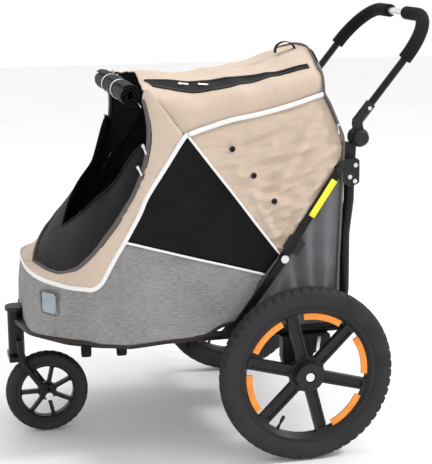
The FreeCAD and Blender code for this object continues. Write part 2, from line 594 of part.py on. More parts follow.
def make_handle():
    """Tubes, bar, grips, sleeves and buttons of the tilting handle."""
    tube_r, fit = d["handle_tube_r"], 0.02
    sleeve_r = tube_r + d["sleeve_wall"]
    for name, side in SIDES:
        y = side * leg_y
        feature(f"{name}_handle_tube", handle_part(d["sleeve_from"], d["bar_half"] + 8, side, tube_r))
        feature(f"{name}_foam_grip", handle_grip(side, tube_r + d["foam_t"], tube_r + fit))
        sleeve_route = [handle_point(d["sleeve_from"] - 3, y), handle_point(d["sleeve_to"], y)]
        sleeve = tube(sleeve_route, sleeve_r, 0)
        sleeve = sleeve.cut(tube([handle_point(d["sleeve_from"], y), handle_point(d["sleeve_to"] + 9, y)],
                                 tube_r + fit, 0))
        arm_in = leg_y + d["plate_gap"] / 2
        sleeve = sleeve.cut(disc(knob, d["knuckle_r"] + 1, side * (arm_in - 30), side * arm_in))
        ear = disc(knob, d["knuckle_r"], side * arm_in, side * (arm_in + d["knuckle_t"]))
        stem_bore = disc(knob, 5 + d["run_gap"], side * arm_in, side * (arm_in + d["knuckle_t"]))
        a, b = V(knob[0], 0, knob[1]), handle_point(d["sleeve_from"] - 2, 0)
        arm = link((a.x, a.z), (b.x, b.z), 22, side * (arm_in + d["knuckle_t"] / 2), d["knuckle_t"])
        arm = arm.cut(tube([handle_point(d["sleeve_from"], y), handle_point(d["sleeve_to"] + 9, y)],
                           tube_r + fit, 0))
        snap_at = handle_point(d["sleeve_to"] - 12, y)
        hole = disc((snap_at.x, snap_at.z), d["snap_r"] + 0.3, side * (leg_y + 4),
                    side * (leg_y + 20))
        feature(f"{name}_handle_sleeve", sleeve.fuse([ear, arm]).removeSplitter().cut([hole, stem_bore]))
        tip = side * (leg_y + sleeve_r + 2.5)
        root = side * (leg_y + tube_r + fit + d["snap_travel"] + 0.1)
        feature(f"{name}_snap_button", disc((snap_at.x, snap_at.z), d["snap_r"], root, tip))
        knob_in = arm_in + d["knuckle_t"] + 0.3 + d["knob_travel"]
        dome = disc(knob, d["knuckle_r"] - 3, side * knob_in, side * (knob_in + d["knob_h"]))
        far = max(dome.Edges, key=lambda e: abs(e.CenterOfMass.y))
        stem = disc(knob, 5, side * (arm_in + d["knob_travel"] + 0.3), side * knob_in)
        feature(f"{name}_fold_knob", dome.makeFillet(d["knob_h"] * 0.6, [far]).fuse(stem))
    bar = d["bar_half"] + 8
    feature("handle_bar", disc((handle_point(d["handle_len"], 0).x, handle_point(d["handle_len"], 0).z),
                               tube_r, -bar, bar))


def handle_grip(side, radius, bore):
    """A foam grip round the bend of the handle, from the straight to the bare bar."""
    y = side * leg_y
    route = [handle_point(d["foam_from"], y), handle_point(d["handle_len"], y),
             handle_point(d["handle_len"], side * d["bar_half"])]
    return tube(route, radius, d["handle_bend"]).cut(tube(extended(route, 5), bore, d["handle_bend"]))


def extended(route, extra):
    """The same route with both ends carried further out in line."""
    first = route[0] + (route[0] - route[1]).normalize() * extra
    last = route[-1] + (route[-1] - route[-2]).normalize() * extra
    return [first] + route[1:-1] + [last]


# ---------------------------------------------------------------- cabin
# Side outline of the cabin in runs: nose, slanted front, roof and back, each point tied to one axle.
floor_z = ring_z - 2
back_x = leg_x - d["leg_r"] - 22
nose = [(xf + d["nose_x"] + 4, floor_z - 2), (xf + d["nose_x"], ring_z + 140), (xf - 6, ring_z + 149)]
front = [(xf + 125, ring_z + 334), (xf + 203, ring_z + 480), (xf + 207, ring_z + 566)]
roof = [(xr - 149, ring_z + 585), (xr - 12, ring_z + 611), (xr + 70, ring_z + 620)]
back = [(xr + 92, ring_z + 536), (back_x - 2, ring_z + 430), (back_x, floor_z - 2)]
hem_z = floor_z - 6
tall = ring_z + 1000


def inset(points, amount):
    """An outline moved inwards by an amount."""
    wire = Part.makePolygon([V(x, 0, z) for x, z in points + points[:1]])
    return Part.Face(wire).makeOffset2D(-amount)


def cabin_block(amount):
    """The cabin as one solid: side outline and plan outline, both moved inwards by an amount."""
    side_face = inset(nose + front + roof + back, amount)
    side_face.translate(V(0, -400, 0))
    across = side_face.extrude(V(0, 800, 0))
    half = cabin_half_w
    plan = [(xf + d["nose_x"], 96), (xf - 8, 176), (xf + 44, 218), (xf + 106, half), (back_x, half)]
    outline = [V(x, -y, 0) for x, y in plan] + [V(x, y, 0) for x, y in reversed(plan)]
    plan_face = Part.Face(Part.makePolygon(outline + outline[:1])).makeOffset2D(-amount)
    return across.common(plan_face.extrude(V(0, 0, tall)))


def cabin_skin():
    """The hollow cabin, open below and at the slanted front."""
    inner = cabin_block(d["skin"])
    below = inner.copy()
    below.translate(V(0, 0, -2 * d["skin"]))
    skin = cabin_block(0).cut([inner, below])
    face_half = cabin_half_w - d["skin"]
    mouth = slab([(xf - 6, ring_z + 153), (xf + 60, ring_z + 153), (xf + 160, ring_z + 330),
                  (xf + 222, ring_z + 480), (xf + 222, ring_z + 566), (xf + 100, ring_z + 566),
                  (xf - 60, ring_z + 200)], -face_half, face_half)
    return skin.cut(mouth)


def without_crumbs(shape, least=3000):
    """A cut shape without the small scraps that the cuts leave behind."""
    solids = [solid for solid in shape.Solids if solid.Volume > least]
    return solids[0] if len(solids) == 1 else Part.makeCompound(solids)


def side_prism(points):
    """A region of the side view as a solid across the whole width."""
    return slab(points, -400, 400)


def frame_room():
    """The frame near the cabin with a little room round it, to be left out of the fabric."""
    room = d["fabric_gap"]
    solids = [tube(ring_route(), d["ring_r"] + room, RING_BENDS)]
    solids.append(Part.makeCylinder(d["head_cap_r"] + room, d["head_cap_h"] + 60,
                                    V(stem_x, 0, ring_z + d["head_top"] - 60 + room)))
    solids.append(disc((cross_x, ring_z), d["ring_r"] - 2 + room, -half_track, half_track))
    hinge_x = rail_top[0] - 13
    for side in (LEFT, RIGHT):
        solids.append(tube(leg_route(side), d["leg_r"] + room, [0, 60, 90, 90, 0]))
        solids.append(disc(fold_pivot, d["leg_r"] + 4 + room, side * (leg_y - d["leg_r"] - 10),
                           side * (d["ring_y"] + 8)))
        solids.append(slab([(fold_pivot[0] - 19, ring_z - 9), (fold_pivot[0] + 17, ring_z - 9),
                            (fold_pivot[0] + 17, fold_pivot[1] + 15), (fold_pivot[0] - 19, fold_pivot[1] + 15)],
                           side * (leg_y + d["leg_r"]), side * (d["ring_y"] + 6)))
        solids.append(slab([(hinge_x, rail_top[1] - 44), (hinge_x + 90, rail_top[1] - 44),
                            (hinge_x + 90, rail_top[1] + 26), (hinge_x, rail_top[1] + 26)],
                           side * (leg_y - d["leg_r"] - 4), side * (upper_rail_y + d["rail_t"])))
    return solids


def make_cabin():
    """Cabin panels cut from one skin along the seams, and the soft parts inside and on it."""
    whole_skin = cabin_skin()
    skin = whole_skin.cut(frame_room())
    corner = (xf + 64, ring_z + 128)
    low_front, low_back = (xf + 150, ring_z + 227), (xf + 465, ring_z + 133)
    apex, high_back = (xf + 296, ring_z + 445), (xf + 502, ring_z + 178)
    mesh = side_prism([apex, low_front, low_back, high_back])
    rail_line = [(rail_top[0] + 4, rail_top[1] - 8), (rail_mid[0] + 6, rail_mid[1] + 10),
                 (rail_foot[0] - 4, rail_foot[1] + 10)]
    base_cut = side_prism([(xf - 400, ring_z + 146), (xf - 20, ring_z + 140), corner, (xf + 98, ring_z + 142),
                           low_front, low_back, high_back] + rail_line[1:]
                          + [(rail_foot[0] - 4, hem_z - 50), (xf - 400, hem_z - 50)])
    gusset_cut = side_prism([(back_x - 20, rail_top[1] - 8)] + rail_line
                            + [(rail_foot[0] - 4, hem_z - 50), (back_x - 20, hem_z - 50)])
    rear_cut = side_prism([(xr + 45, ring_z + 640), (xr + 62, ring_z + 536), (xr + 84, ring_z + 470),
                           (back_x - 20, ring_z + 410), (back_x - 20, hem_z - 50), (back_x + 60, hem_z - 50),
                           (back_x + 60, ring_z + 640)])
    windows = skin.common(mesh)
    solid_walls = skin.cut(mesh)
    rear = solid_walls.common(rear_cut)
    rest = solid_walls.cut(rear_cut)
    base = rest.common(base_cut)
    rest = rest.cut(base_cut)
    gussets = rest.common(gusset_cut)
    canopy = rest.cut(gusset_cut)
    feature("cabin_base", without_crumbs(base))
    feature("cabin_canopy", without_crumbs(canopy))
    feature("side_windows", windows)
    feature("side_gussets", without_crumbs(gussets))
    feature("rear_panel", without_crumbs(rear))
    start = V(xf - 4, 0, ring_z + 151)
    end = V(xf + 176, 0, ring_z + 404)
    run = (end - start).normalize()
    away = V(-run.z, 0, run.x)
    half = cabin_half_w - d["skin"] - 22
    reach = (end - start).Length
    def at(along, y):
        return start + run * along + V(0, y, 0)
    rim_points = [at(0, -half + 60), at(0, half - 60), at(90, half), at(reach, half - 6), at(reach, half - 28),
                  at(200, 148), at(84, 0), at(200, -148), at(reach, 28 - half), at(reach, 6 - half),
                  at(90, -half)]
    panel = Part.Face(Part.makePolygon(rim_points + rim_points[:1])).extrude(away * 3).cut(whole_skin)
    feature("front_mesh_panel", panel)
    flap_at = (xf + 207 - 6 - d["flap_r"], ring_z + 538)
    flap_half = cabin_half_w - d["flap_inset"]
    feature("rolled_flap", disc(flap_at, d["flap_r"], -flap_half, flap_half))
    board_top = ring_z + d["ring_r"] + d["board_t"]
    board_half = d["ring_y"] - d["board_inset"]
    board = [(xf - 20, 60), (xf + 30, 130), (xf + 110, board_half), (back_x - 10, board_half)]
    outline = [V(x, -y, ring_z + d["ring_r"]) for x, y in board]
    outline += [V(x, y, ring_z + d["ring_r"]) for x, y in reversed(board)]
    board_face = Part.Face(Part.makePolygon(outline + outline[:1]))
    feature("floor_board", board_face.extrude(V(0, 0, d["board_t"])))
    cushion_face = board_face.makeOffset2D(-6)
    cushion_face.translate(V(0, 0, d["board_t"]))
    feature("floor_cushion", cushion_face.extrude(V(0, 0, d["cushion_t"])))


springs = []
make_wheels()
rim_inserts(LEFT)
rim_inserts(RIGHT)
make_caster()
make_base()
make_brake()
feature("brake_springs", Part.makeCompound(springs))
make_legs()
make_rails()
make_handle()
make_cabin()
doc.recompute()

# ---------------------------------------------------------------- checks and files
PARTS = [o for o in doc.Objects if o.TypeId in ("Part::Feature", "PartDesign::Body", "Part::Cylinder")]
for o in doc.Objects:
    if "Invalid" in o.State or "Error" in o.State:
        raise RuntimeError(f"{o.Label} failed: {o.State}")
for o in PARTS:
    if o.Shape.isNull() or not o.Shape.isValid() or o.Shape.Volume <= 0:
        raise RuntimeError(f"{o.Label} has no valid solid")
os.makedirs("parts", exist_ok=True)
for o in PARTS:
    o.Shape.exportStep(os.path.join("parts", o.Label + ".step"))
    box = o.Shape.BoundBox
    print(o.Label, len(o.Shape.Solids), round(o.Shape.Volume),
          [round(v) for v in (box.XMin, box.XMax, box.YMin, box.YMax, box.ZMin, box.ZMax)])
print(len(PARTS), "sub-parts")
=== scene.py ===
import bpy
import bmesh
import json
import math
from mathutils import Matrix, Vector, noise
from mathutils.bvhtree import BVHTree


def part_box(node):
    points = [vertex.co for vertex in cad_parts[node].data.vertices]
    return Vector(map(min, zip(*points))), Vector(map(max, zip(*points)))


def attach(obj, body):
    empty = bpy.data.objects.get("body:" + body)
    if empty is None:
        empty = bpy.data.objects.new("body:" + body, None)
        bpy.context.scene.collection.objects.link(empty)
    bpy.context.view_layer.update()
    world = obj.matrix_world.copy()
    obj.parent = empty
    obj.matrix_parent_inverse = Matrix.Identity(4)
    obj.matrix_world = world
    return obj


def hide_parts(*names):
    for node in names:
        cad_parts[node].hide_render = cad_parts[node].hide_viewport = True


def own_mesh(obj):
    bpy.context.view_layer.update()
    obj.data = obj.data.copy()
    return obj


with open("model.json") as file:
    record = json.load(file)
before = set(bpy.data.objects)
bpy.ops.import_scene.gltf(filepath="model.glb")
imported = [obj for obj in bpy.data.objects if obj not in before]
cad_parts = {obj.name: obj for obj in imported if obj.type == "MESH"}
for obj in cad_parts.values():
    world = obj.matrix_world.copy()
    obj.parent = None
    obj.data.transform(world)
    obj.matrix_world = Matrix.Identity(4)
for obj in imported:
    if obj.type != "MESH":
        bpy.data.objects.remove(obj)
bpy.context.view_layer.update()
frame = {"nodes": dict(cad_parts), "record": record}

# All lengths below are millimetres, measured in X from the front axle and in Z from the ground.
# place() turns them into the shared frame's metres. Left is -Y, the front of the stroller is -X.
MM = 0.001
tyre_low, tyre_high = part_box("front_tyre")
FRONT_X = (tyre_low[0] + tyre_high[0]) / 2
rear_low, rear_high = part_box("left_rear_tyre")
REAR_X = ((rear_low[0] + rear_high[0]) / 2 - FRONT_X) / MM
REAR_R = (rear_high[2] - rear_low[2]) / 2 / MM
REAR_Y = (rear_low[1] + rear_high[1]) / 2 / MM
SIDES = (("left", -1), ("right", 1))
BASE_T, PANEL_T, CLOTH_T, NET_T = 0.0022, 0.0018, 0.0016, 0.0006  # cloth thicknesses in metres


def place(x, y, z):
    """A point in metres from millimetres behind the front axle, to the right and above the ground."""
    return Vector((FRONT_X + x * MM, y * MM, z * MM))


# ---------------- curves and surfaces
def catmull(a, b, c, d, t):
    """A point of the Catmull-Rom curve between b and c."""
    return 0.5 * (2 * b + (c - a) * t + (2 * a - 5 * b + 4 * c - d) * t * t + (3 * b - a - 3 * c + d) * t ** 3)


def smooth(keys, count):
    """Points spaced evenly along a Catmull-Rom curve through the keys."""
    keys = [Vector(k) for k in keys]
    ends = [keys[0] * 2 - keys[1]] + keys + [keys[-1] * 2 - keys[-2]]
    steps = 14
    fine = [catmull(*ends[i - 1:i + 3], k / steps) for i in range(1, len(ends) - 2) for k in range(steps)]
    fine.append(keys[-1])
    return resample(fine, count)


def resample(points, count):
    """Points spaced evenly along a polyline."""
    points = [Vector(p) for p in points]
    lengths = [0.0]
    for a, b in zip(points, points[1:]):
        lengths.append(lengths[-1] + (b - a).length)
    out, j = [], 0
    for i in range(count):
        target = lengths[-1] * i / (count - 1)
        while j < len(points) - 2 and lengths[j + 1] < target:
            j += 1
        span = lengths[j + 1] - lengths[j]
        t = 0.0 if span < 1e-9 else (target - lengths[j]) / span
        out.append(points[j].lerp(points[j + 1], min(max(t, 0.0), 1.0)))
    return out


def along(keys, x):
    """The value of a piecewise line of (x, value) keys."""
    if x <= keys[0][0]:
        return keys[0][1]
    for (x0, v0), (x1, v1) in zip(keys, keys[1:]):
        if x <= x1:
            return v0 + (v1 - v0) * (x - x0) / (x1 - x0)
    return keys[-1][1]


def ease(t):
    """A smooth step from 0 to 1."""
    t = min(max(t, 0.0), 1.0)
    return t * t * (3 - 2 * t)


# The middle of the cabin and of the roof, which cloth faces away from.
CABIN_MIDDLE = place(280, 0, 520)
ROOF_MIDDLE = place(400, 0, 600)

# Half width of the cabin: at the hem, above the base panel, and narrowing to the roof.
HEM = [(-52, 60), (-50, 105), (-44, 140), (-20, 180), (18, 222), (60, 250), (106, 264), (161, 269), (242, 264),
       (324, 256), (400, 250), (655, 246)]
WAIST = [(-50, 40), (-46, 70), (-36, 117), (-7, 180), (23, 223), (54, 244), (78, 249), (106, 250), (655, 247)]
WAIST_Z, HEM_Z, LEAN_Z = 410, 283, 620


def wall_y(x, z):
    """Half width of the side wall at a place in the side view."""
    low, waist = along(HEM, x), along(WAIST, x)
    if z < WAIST_Z:
        return low + (waist - low) * ease((z - HEM_Z) / (WAIST_Z - HEM_Z))
    return waist - 22 * ease((z - LEAN_Z) / 190) ** 1.2


SHOULDER = [(205, 824), (276, 822), (320, 819), (400, 827), (465, 840), (560, 858), (617, 866), (640, 862)]
RIDGE = [(205, 845), (260, 849), (313, 845), (373, 841), (398, 841), (459, 851), (526, 864), (575, 884),
         (625, 900), (640, 902)]


def section(x, z_low, rows):
    """The canopy's section at x from a height on the wall, over the shoulder, to the ridge."""
    top = along(SHOULDER, x)
    turn = top - 34
    keys = []
    start = min(z_low, turn - 12)
    for k in range(4):
        z = start + (turn - start) * k / 3
        keys.append((wall_y(x, z), z))
    ridge = along(RIDGE, x)
    wall = wall_y(x, turn)
    rise = ridge - top
    keys += [(wall - 9, top - 12), (wall - 34, top - 1), (150, top + rise * 0.42), (75, top + rise * 0.84),
             (0, ridge)]
    pts = smooth([(y, z, 0) for y, z in keys], rows)
    return [(p.x, p.y) for p in pts]


# ---------------- wrinkles
def creases(lines):
    """Folds in the cloth: each is (start, end, width, depth) in the side view's X and Z."""
    return [(Vector(a), Vector(b), w, depth) for a, b, w, depth in lines]


def pull(x, z, lines):
    """How far the folds push the cloth outwards at a place, in millimetres."""
    p, total = Vector((x, z)), 0.0
    for a, b, width, depth in lines:
        run = b - a
        t = min(max((p - a).dot(run) / run.length_squared, 0.0), 1.0)
        gap = p - a - run * t
        side = run.x * gap.y - run.y * gap.x
        off = gap.length / width
        bend = depth * (math.exp(-off * off) if side > 0 else math.exp(-(off * 0.55) ** 2))
        total += bend * math.sin(math.pi * min(max(0.08 + 0.84 * t, 0), 1)) - 0.35 * depth * math.exp(
            -((off - 1.6) ** 2))
    return total


def ripple(p, size, height):
    """Uneven softness of cloth, the same at every run."""
    return height * noise.fractal(p / size, 1.0, 2.0, 3)


def drawn(x, z, height):
    """Long shallow wrinkles that run back and slightly up, as cloth pulled between two edges has."""
    p = Vector((x * 0.28 + z * 0.1, 3, z - x * 0.22))
    ridge = 1 - abs(noise.noise(p / 26)) * 2.6
    return height * (ridge + 0.5 * noise.noise(p / 11))


# ---------------- making pieces
def grid_mesh(rows):
    """Vertices and quads of a sheet given as rows of points."""
    verts = [v for row in rows for v in row]
    width = len(rows[0])
    faces = [(i * width + j, i * width + j + 1, (i + 1) * width + j + 1, (i + 1) * width + j)
             for i in range(len(rows) - 1) for j in range(width - 1)]
    return verts, faces


def linked(name, data):
    """An object with the data, in the scene."""
    obj = bpy.data.objects.new(name, data)
    bpy.context.scene.collection.objects.link(obj)
    return obj


def mesh_object(name, parts, material, weld=0.0002):
    """One object from (verts, faces) parts in metres."""
    bm = bmesh.new()
    for verts, faces in parts:
        made = [bm.verts.new(v) for v in verts]
        for f in faces:
            if len(set(f)) > 2:
                bm.faces.new([made[i] for i in f])
    if weld:
        bmesh.ops.remove_doubles(bm, verts=bm.verts, dist=weld)
        bmesh.ops.dissolve_degenerate(bm, dist=1e-6, edges=bm.edges)
    mesh = bpy.data.meshes.new(name)
    bm.to_mesh(mesh)
    bm.free()
    obj = linked(name, mesh)
    mesh.materials.append(material)
    for poly in mesh.polygons:
        poly.use_smooth = True
    cloth_uv(mesh)
    return obj


def cloth_uv(mesh):
    """A UV map in metres, laid on each face from its main direction."""
    layer = mesh.uv_layers.new(name="cloth")
    for poly in mesh.polygons:
        n = poly.normal
        main = max(range(3), key=lambda k: abs(n[k]))
        a, b = ((1, 2), (0, 2), (0, 1))[main]
        for i in poly.loop_indices:
            co = mesh.vertices[mesh.loops[i].vertex_index].co
            layer.data[i].uv = (co[a], co[b])


def thicken(obj, thickness, lining=None, offset=-1.0):
    """Gives a sheet its cloth thickness, with a lining material inside."""
    mod = obj.modifiers.new("cloth", "SOLIDIFY")
    mod.thickness = thickness
    mod.offset = offset
    mod.use_even_offset = False
    if lining is not None:
        obj.data.materials.append(lining)
        mod.material_offset = 1
        mod.material_offset_rim = 0


def face_out(verts, faces, centre):
    """Turns every face of a sheet so that it looks away from a point."""
    total = 0.0
    for f in faces[::7]:
        a, b, c = (Vector(verts[i]) for i in f[:3])
        total += (b - a).cross(c - a).dot((a + b + c) / 3 - centre)
    return faces if total >= 0 else [tuple(reversed(f)) for f in faces]


def sheet_parts(rows_mm):
    """A sheet on the left side from rows of (x, y, z), and its mirror image on the right."""
    verts, faces = grid_mesh([[place(*p) for p in row] for row in rows_mm])
    other = [Vector((v.x, -v.y, v.z)) for v in verts]
    return [(points, face_out(points, faces, CABIN_MIDDLE)) for points in (verts, other)]


def soft(obj, *nodes, slot):
    """A fabric piece moved rigidly with the chassis body, in place of the CAD nodes it hides."""
    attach(obj, "chassis")
    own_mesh(obj)
    if nodes:
        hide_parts(*nodes)
    return obj


def sheet(name, rows, material, thickness, lining=None, nodes=(), slot="beige_fabric", offset=-1.0):
    """Cloth on both sides from rows of left-side points, given its thickness; its slot is not used."""
    obj = mesh_object(name, sheet_parts(rows), material)
    thicken(obj, thickness, lining, offset)
    return soft(obj, *nodes, slot=slot)


def trim_piece(name, parts, material, slot):
    """Closed parts as one piece that goes with the cloth."""
    return soft(mesh_object(name, parts, material, weld=0), slot=slot)


def tube_faces(rings, count, caps=(True, True)):
    """The faces of a tube of rings with count points each, closed at its two ends."""
    faces = []
    for i in range(rings - 1):
        for k in range(count):
            j = (k + 1) % count
            faces.append((i * count + k, i * count + j, (i + 1) * count + j, (i + 1) * count + k))
    if caps[0]:
        faces.append(tuple(reversed(range(count))))
    if caps[1]:
        faces.append(tuple((rings - 1) * count + k for k in range(count)))
    return faces


def ribbon(centres, normals, width, height):
    """A band of flattened round section along points, its flat side facing the normals."""
    count = 10
    verts = []
    for i, p in enumerate(centres):
        before, after = centres[max(i - 1, 0)], centres[min(i + 1, len(centres) - 1)]
        run = (after - before).normalized()
        n = (normals[i] - run * normals[i].dot(run)).normalized()
        side = run.cross(n)
        for k in range(count):
            a = 2 * math.pi * k / count
            verts.append(p + side * (width / 2 * math.cos(a)) + n * (height / 2 * math.sin(a)))
    return verts, tube_faces(len(centres), count)


def mirrored(part):
    """The same part on the other side of the stroller."""
    verts, faces = part
    return [Vector((v.x, -v.y, v.z)) for v in verts], [tuple(reversed(f)) for f in faces]


def ring_tube(points, radius, count):
    """A round tube whose rings turn as little as possible along the points."""
    run = (points[1] - points[0]).normalized()
    side = run.orthogonal().normalized()
    verts = []
    for i, p in enumerate(points):
        before, after = points[max(i - 1, 0)], points[min(i + 1, len(points) - 1)]
        run = (after - before).normalized()
        side = (side - run * side.dot(run)).normalized()
        up = run.cross(side)
        for k in range(count):
            a = 2 * math.pi * k / count
            verts.append(p + side * (radius * math.cos(a)) + up * (radius * math.sin(a)))
    return verts, tube_faces(len(points), count)


def block(centre, x_axis, z_axis, size, bevel=0.3):
    """A small block with chamfered edges: size along x_axis, across, and along z_axis."""
    x_axis = x_axis.normalized()
    z_axis = (z_axis - x_axis * z_axis.dot(x_axis)).normalized()
    y_axis = z_axis.cross(x_axis)
    sx, sy, sz = (s / 2 for s in size)
    b = bevel * min(sx, sy, sz)
    bm = bmesh.new()
    bmesh.ops.create_cube(bm, size=2.0)
    for v in bm.verts:
        v.co = Vector((v.co.x * sx, v.co.y * sy, v.co.z * sz))
    bmesh.ops.bevel(bm, geom=bm.edges, offset=b, segments=2, profile=0.5, affect="EDGES")
    turn = Matrix((x_axis, y_axis, z_axis)).transposed()
    verts = [centre + turn @ v.co for v in bm.verts]
    bm.verts.index_update()
    faces = [tuple(v.index for v in f.verts) for f in bm.faces]
    bm.free()
    return verts, faces


def turned_part(centre, axis, profile, count=32):
    """A turned piece: profile of (radius, distance along axis) in millimetres from the centre."""
    axis = axis.normalized()
    side = axis.orthogonal().normalized()
    up = axis.cross(side)
    verts = []
    for r, h in profile:
        for k in range(count):
            a = 2 * math.pi * k / count
            verts.append(centre + axis * (h * MM) + side * (r * MM * math.cos(a)) + up * (r * MM * math.sin(a)))
    return verts, tube_faces(len(profile), count, (profile[0][0] > 0.01, profile[-1][0] > 0.01))


# ---------------- materials
class Nodes:
    """Short calls to build one material's node tree."""

    def __init__(self, name):
        self.mat = bpy.data.materials.new(name)
        self.mat.use_nodes = True
        self.tree = self.mat.node_tree
        self.tree.nodes.clear()
        self.out = self.tree.nodes.new("ShaderNodeOutputMaterial")
        self.shader = self.add("ShaderNodeBsdfPrincipled")
        self.link(self.shader.outputs[0], self.out.inputs[0])

    def add(self, kind, **values):
        node = self.tree.nodes.new(kind)
        for key, value in values.items():
            if hasattr(node, key):
                setattr(node, key, value)
            else:
                node.inputs[key.replace("_", " ")].default_value = value
        return node

    def link(self, a, b):
        """Joins two sockets."""
        self.tree.links.new(a, b)

    def set(self, **values):
        """Sets the shader's own sockets."""
        for key, value in values.items():
            self.shader.inputs[key.replace("_", " ")].default_value = value

    def coords(self, source, scale=(1, 1, 1)):
        """Texture coordinates of one kind, scaled along each axis."""
        tex = self.add("ShaderNodeTexCoord")
        mapping = self.add("ShaderNodeMapping")
        mapping.inputs["Scale"].default_value = scale
        self.link(tex.outputs[source], mapping.inputs["Vector"])
        return mapping.outputs[0]

    def noise(self, vector, scale, detail=3.0, rough=0.55):
        node = self.add("ShaderNodeTexNoise", Scale=scale, Detail=detail, Roughness=rough)
        self.link(vector, node.inputs["Vector"])
        return node.outputs["Fac"]

    def wave(self, vector, scale, direction):
        node = self.add("ShaderNodeTexWave", Scale=scale, Distortion=0.0)
        node.bands_direction = direction
        self.link(vector, node.inputs["Vector"])
        return node.outputs["Fac"]

    def math(self, operation, a, b):
        node = self.add("ShaderNodeMath", operation=operation)
        for socket, value in zip(node.inputs, (a, b)):
            if isinstance(value, (int, float)):
                socket.default_value = value
            else:
                self.link(value, socket)
        return node.outputs[0]

    def ramp(self, factor, stops):
        node = self.add("ShaderNodeValToRGB")
        ramp = node.color_ramp
        while len(ramp.elements) < len(stops):
            ramp.elements.new(0.5)
        for element, (at, colour) in zip(ramp.elements, stops):
            element.position = at
            element.color = (*colour, 1) if len(colour) == 3 else (colour[0],) * 3 + (1,)
        self.link(factor, node.inputs["Fac"])
        return node.outputs["Color"]

    def spread(self, factor, low, high):
        """A factor mapped to a range."""
        node = self.add("ShaderNodeMapRange")
        node.inputs["To Min"].default_value = low
        node.inputs["To Max"].default_value = high
        self.link(factor, node.inputs["Value"])
        return node.outputs[0]

    def bump(self, height, strength, distance):
        node = self.add("ShaderNodeBump", Strength=strength, Distance=distance)
        self.link(height, node.inputs["Height"])
        self.link(node.outputs[0], self.shader.inputs["Normal"])

    def tint(self, factor, colour, low, high):
        """A base colour that drifts between two shades."""
        self.link(self.ramp(factor, [(0.3, shade(colour, low)), (0.7, shade(colour, high))]),
                  self.shader.inputs["Base Color"])

    def roughen(self, factor, low, high):
        self.link(self.spread(factor, low, high), self.shader.inputs["Roughness"])


def shade(colour, factor):
    """A colour made lighter or darker."""
    return tuple(min(c * factor, 1.0) for c in colour)


def cloth(name, colour, melange=0.0, thread=0.0011, sheen=0.08, rough=0.85, bump=0.35, spec=0.2):
    """Woven cloth: crossing threads, uneven dye, and short flecks along the weft where it is a melange."""
    n = Nodes(name)
    uv = n.coords("UV")
    weave = n.math("MULTIPLY", *(n.wave(uv, 1 / thread / 6.283 * 3.14, way) for way in "XY"))
    cloud = n.noise(uv, 9.0, 2.0)
    fleck = n.noise(n.coords("UV", (70, 420, 1) if melange > 0.15 else (160, 900, 1)), 1.0, 2.0, 0.6)
    tone = n.math("ADD", n.math("MULTIPLY", cloud, 0.35), n.math("MULTIPLY", fleck, 0.65))
    low, high = 1 - 0.06 - melange, 1 + 0.05 + melange
    base = n.ramp(tone, [(0.38, shade(colour, low)), (0.62, shade(colour, high))])
    dark = n.add("ShaderNodeMix", data_type="RGBA", blend_type="MULTIPLY")
    dark.inputs["Factor"].default_value = 0.16
    n.link(base, dark.inputs["A"])
    n.link(n.ramp(weave, [(0.0, (0.45,)), (0.6, (1.0,))]), dark.inputs["B"])
    n.link(dark.outputs["Result"], n.shader.inputs["Base Color"])
    n.roughen(cloud, rough - 0.06, rough + 0.06)
    n.set(Sheen_Weight=sheen, Sheen_Roughness=0.45, Specular_IOR_Level=spec)
    n.bump(n.math("ADD", weave, n.math("MULTIPLY", fleck, 0.5)), bump, 0.0005)
    return n.mat


def netting(name, colour, cover):
    """Fine net: a grid of round threads in the bump, evenly see-through by its cover."""
    n = Nodes(name)
    uv = n.coords("UV")
    across = n.wave(uv, 260, "X")
    down = n.wave(uv, 260, "Y")
    thread = n.math("MAXIMUM", across, down)
    cloud = n.noise(uv, 14.0, 2.0)
    n.tint(cloud, colour, 0.7, 1.3)
    n.roughen(cloud, 0.5, 0.7)
    n.set(Alpha=cover, Specular_IOR_Level=0.12, Sheen_Weight=0.0)
    n.bump(thread, 0.3, 0.0004)
    return n.mat


def plastic(name, colour, rough=0.45, grain=900.0, bump=0.12, coat=0.0, spec=0.4):
    """Moulded plastic with a fine spark-eroded grain and slight wear."""
    n = Nodes(name)
    at = n.coords("Object")
    fine = n.noise(at, grain, 2.0)
    broad = n.noise(at, 22.0, 3.0)
    n.tint(broad, colour, 0.85, 1.2)
    n.roughen(broad, rough - 0.08, rough + 0.08)
    n.set(Specular_IOR_Level=spec, Coat_Weight=coat, Coat_Roughness=0.2)
    n.bump(fine, bump, 0.0003)
    return n.mat


def painted(name, colour, rough=0.32):
    """Powder-coated tube: faint orange peel under a soft gloss."""
    n = Nodes(name)
    at = n.coords("Object")
    peel = n.noise(at, 420.0, 2.0)
    broad = n.noise(at, 12.0, 3.0)
    n.tint(broad, colour, 0.85, 1.15)
    n.roughen(broad, rough - 0.06, rough + 0.08)
    n.set(Specular_IOR_Level=0.22)
    n.bump(peel, 0.1, 0.0004)
    return n.mat


def metal(name, colour, rough=0.28):
    """Plated steel with fine turning marks."""
    n = Nodes(name)
    at = n.coords("Object")
    marks = n.noise(n.coords("Object", (40, 900, 40)), 1.0, 2.0)
    broad = n.noise(at, 60.0, 2.0)
    n.tint(broad, colour, 0.88, 1.06)
    n.roughen(marks, rough - 0.06, rough + 0.12)
    n.set(Metallic=1.0)
    n.bump(marks, 0.08, 0.0002)
    return n.mat


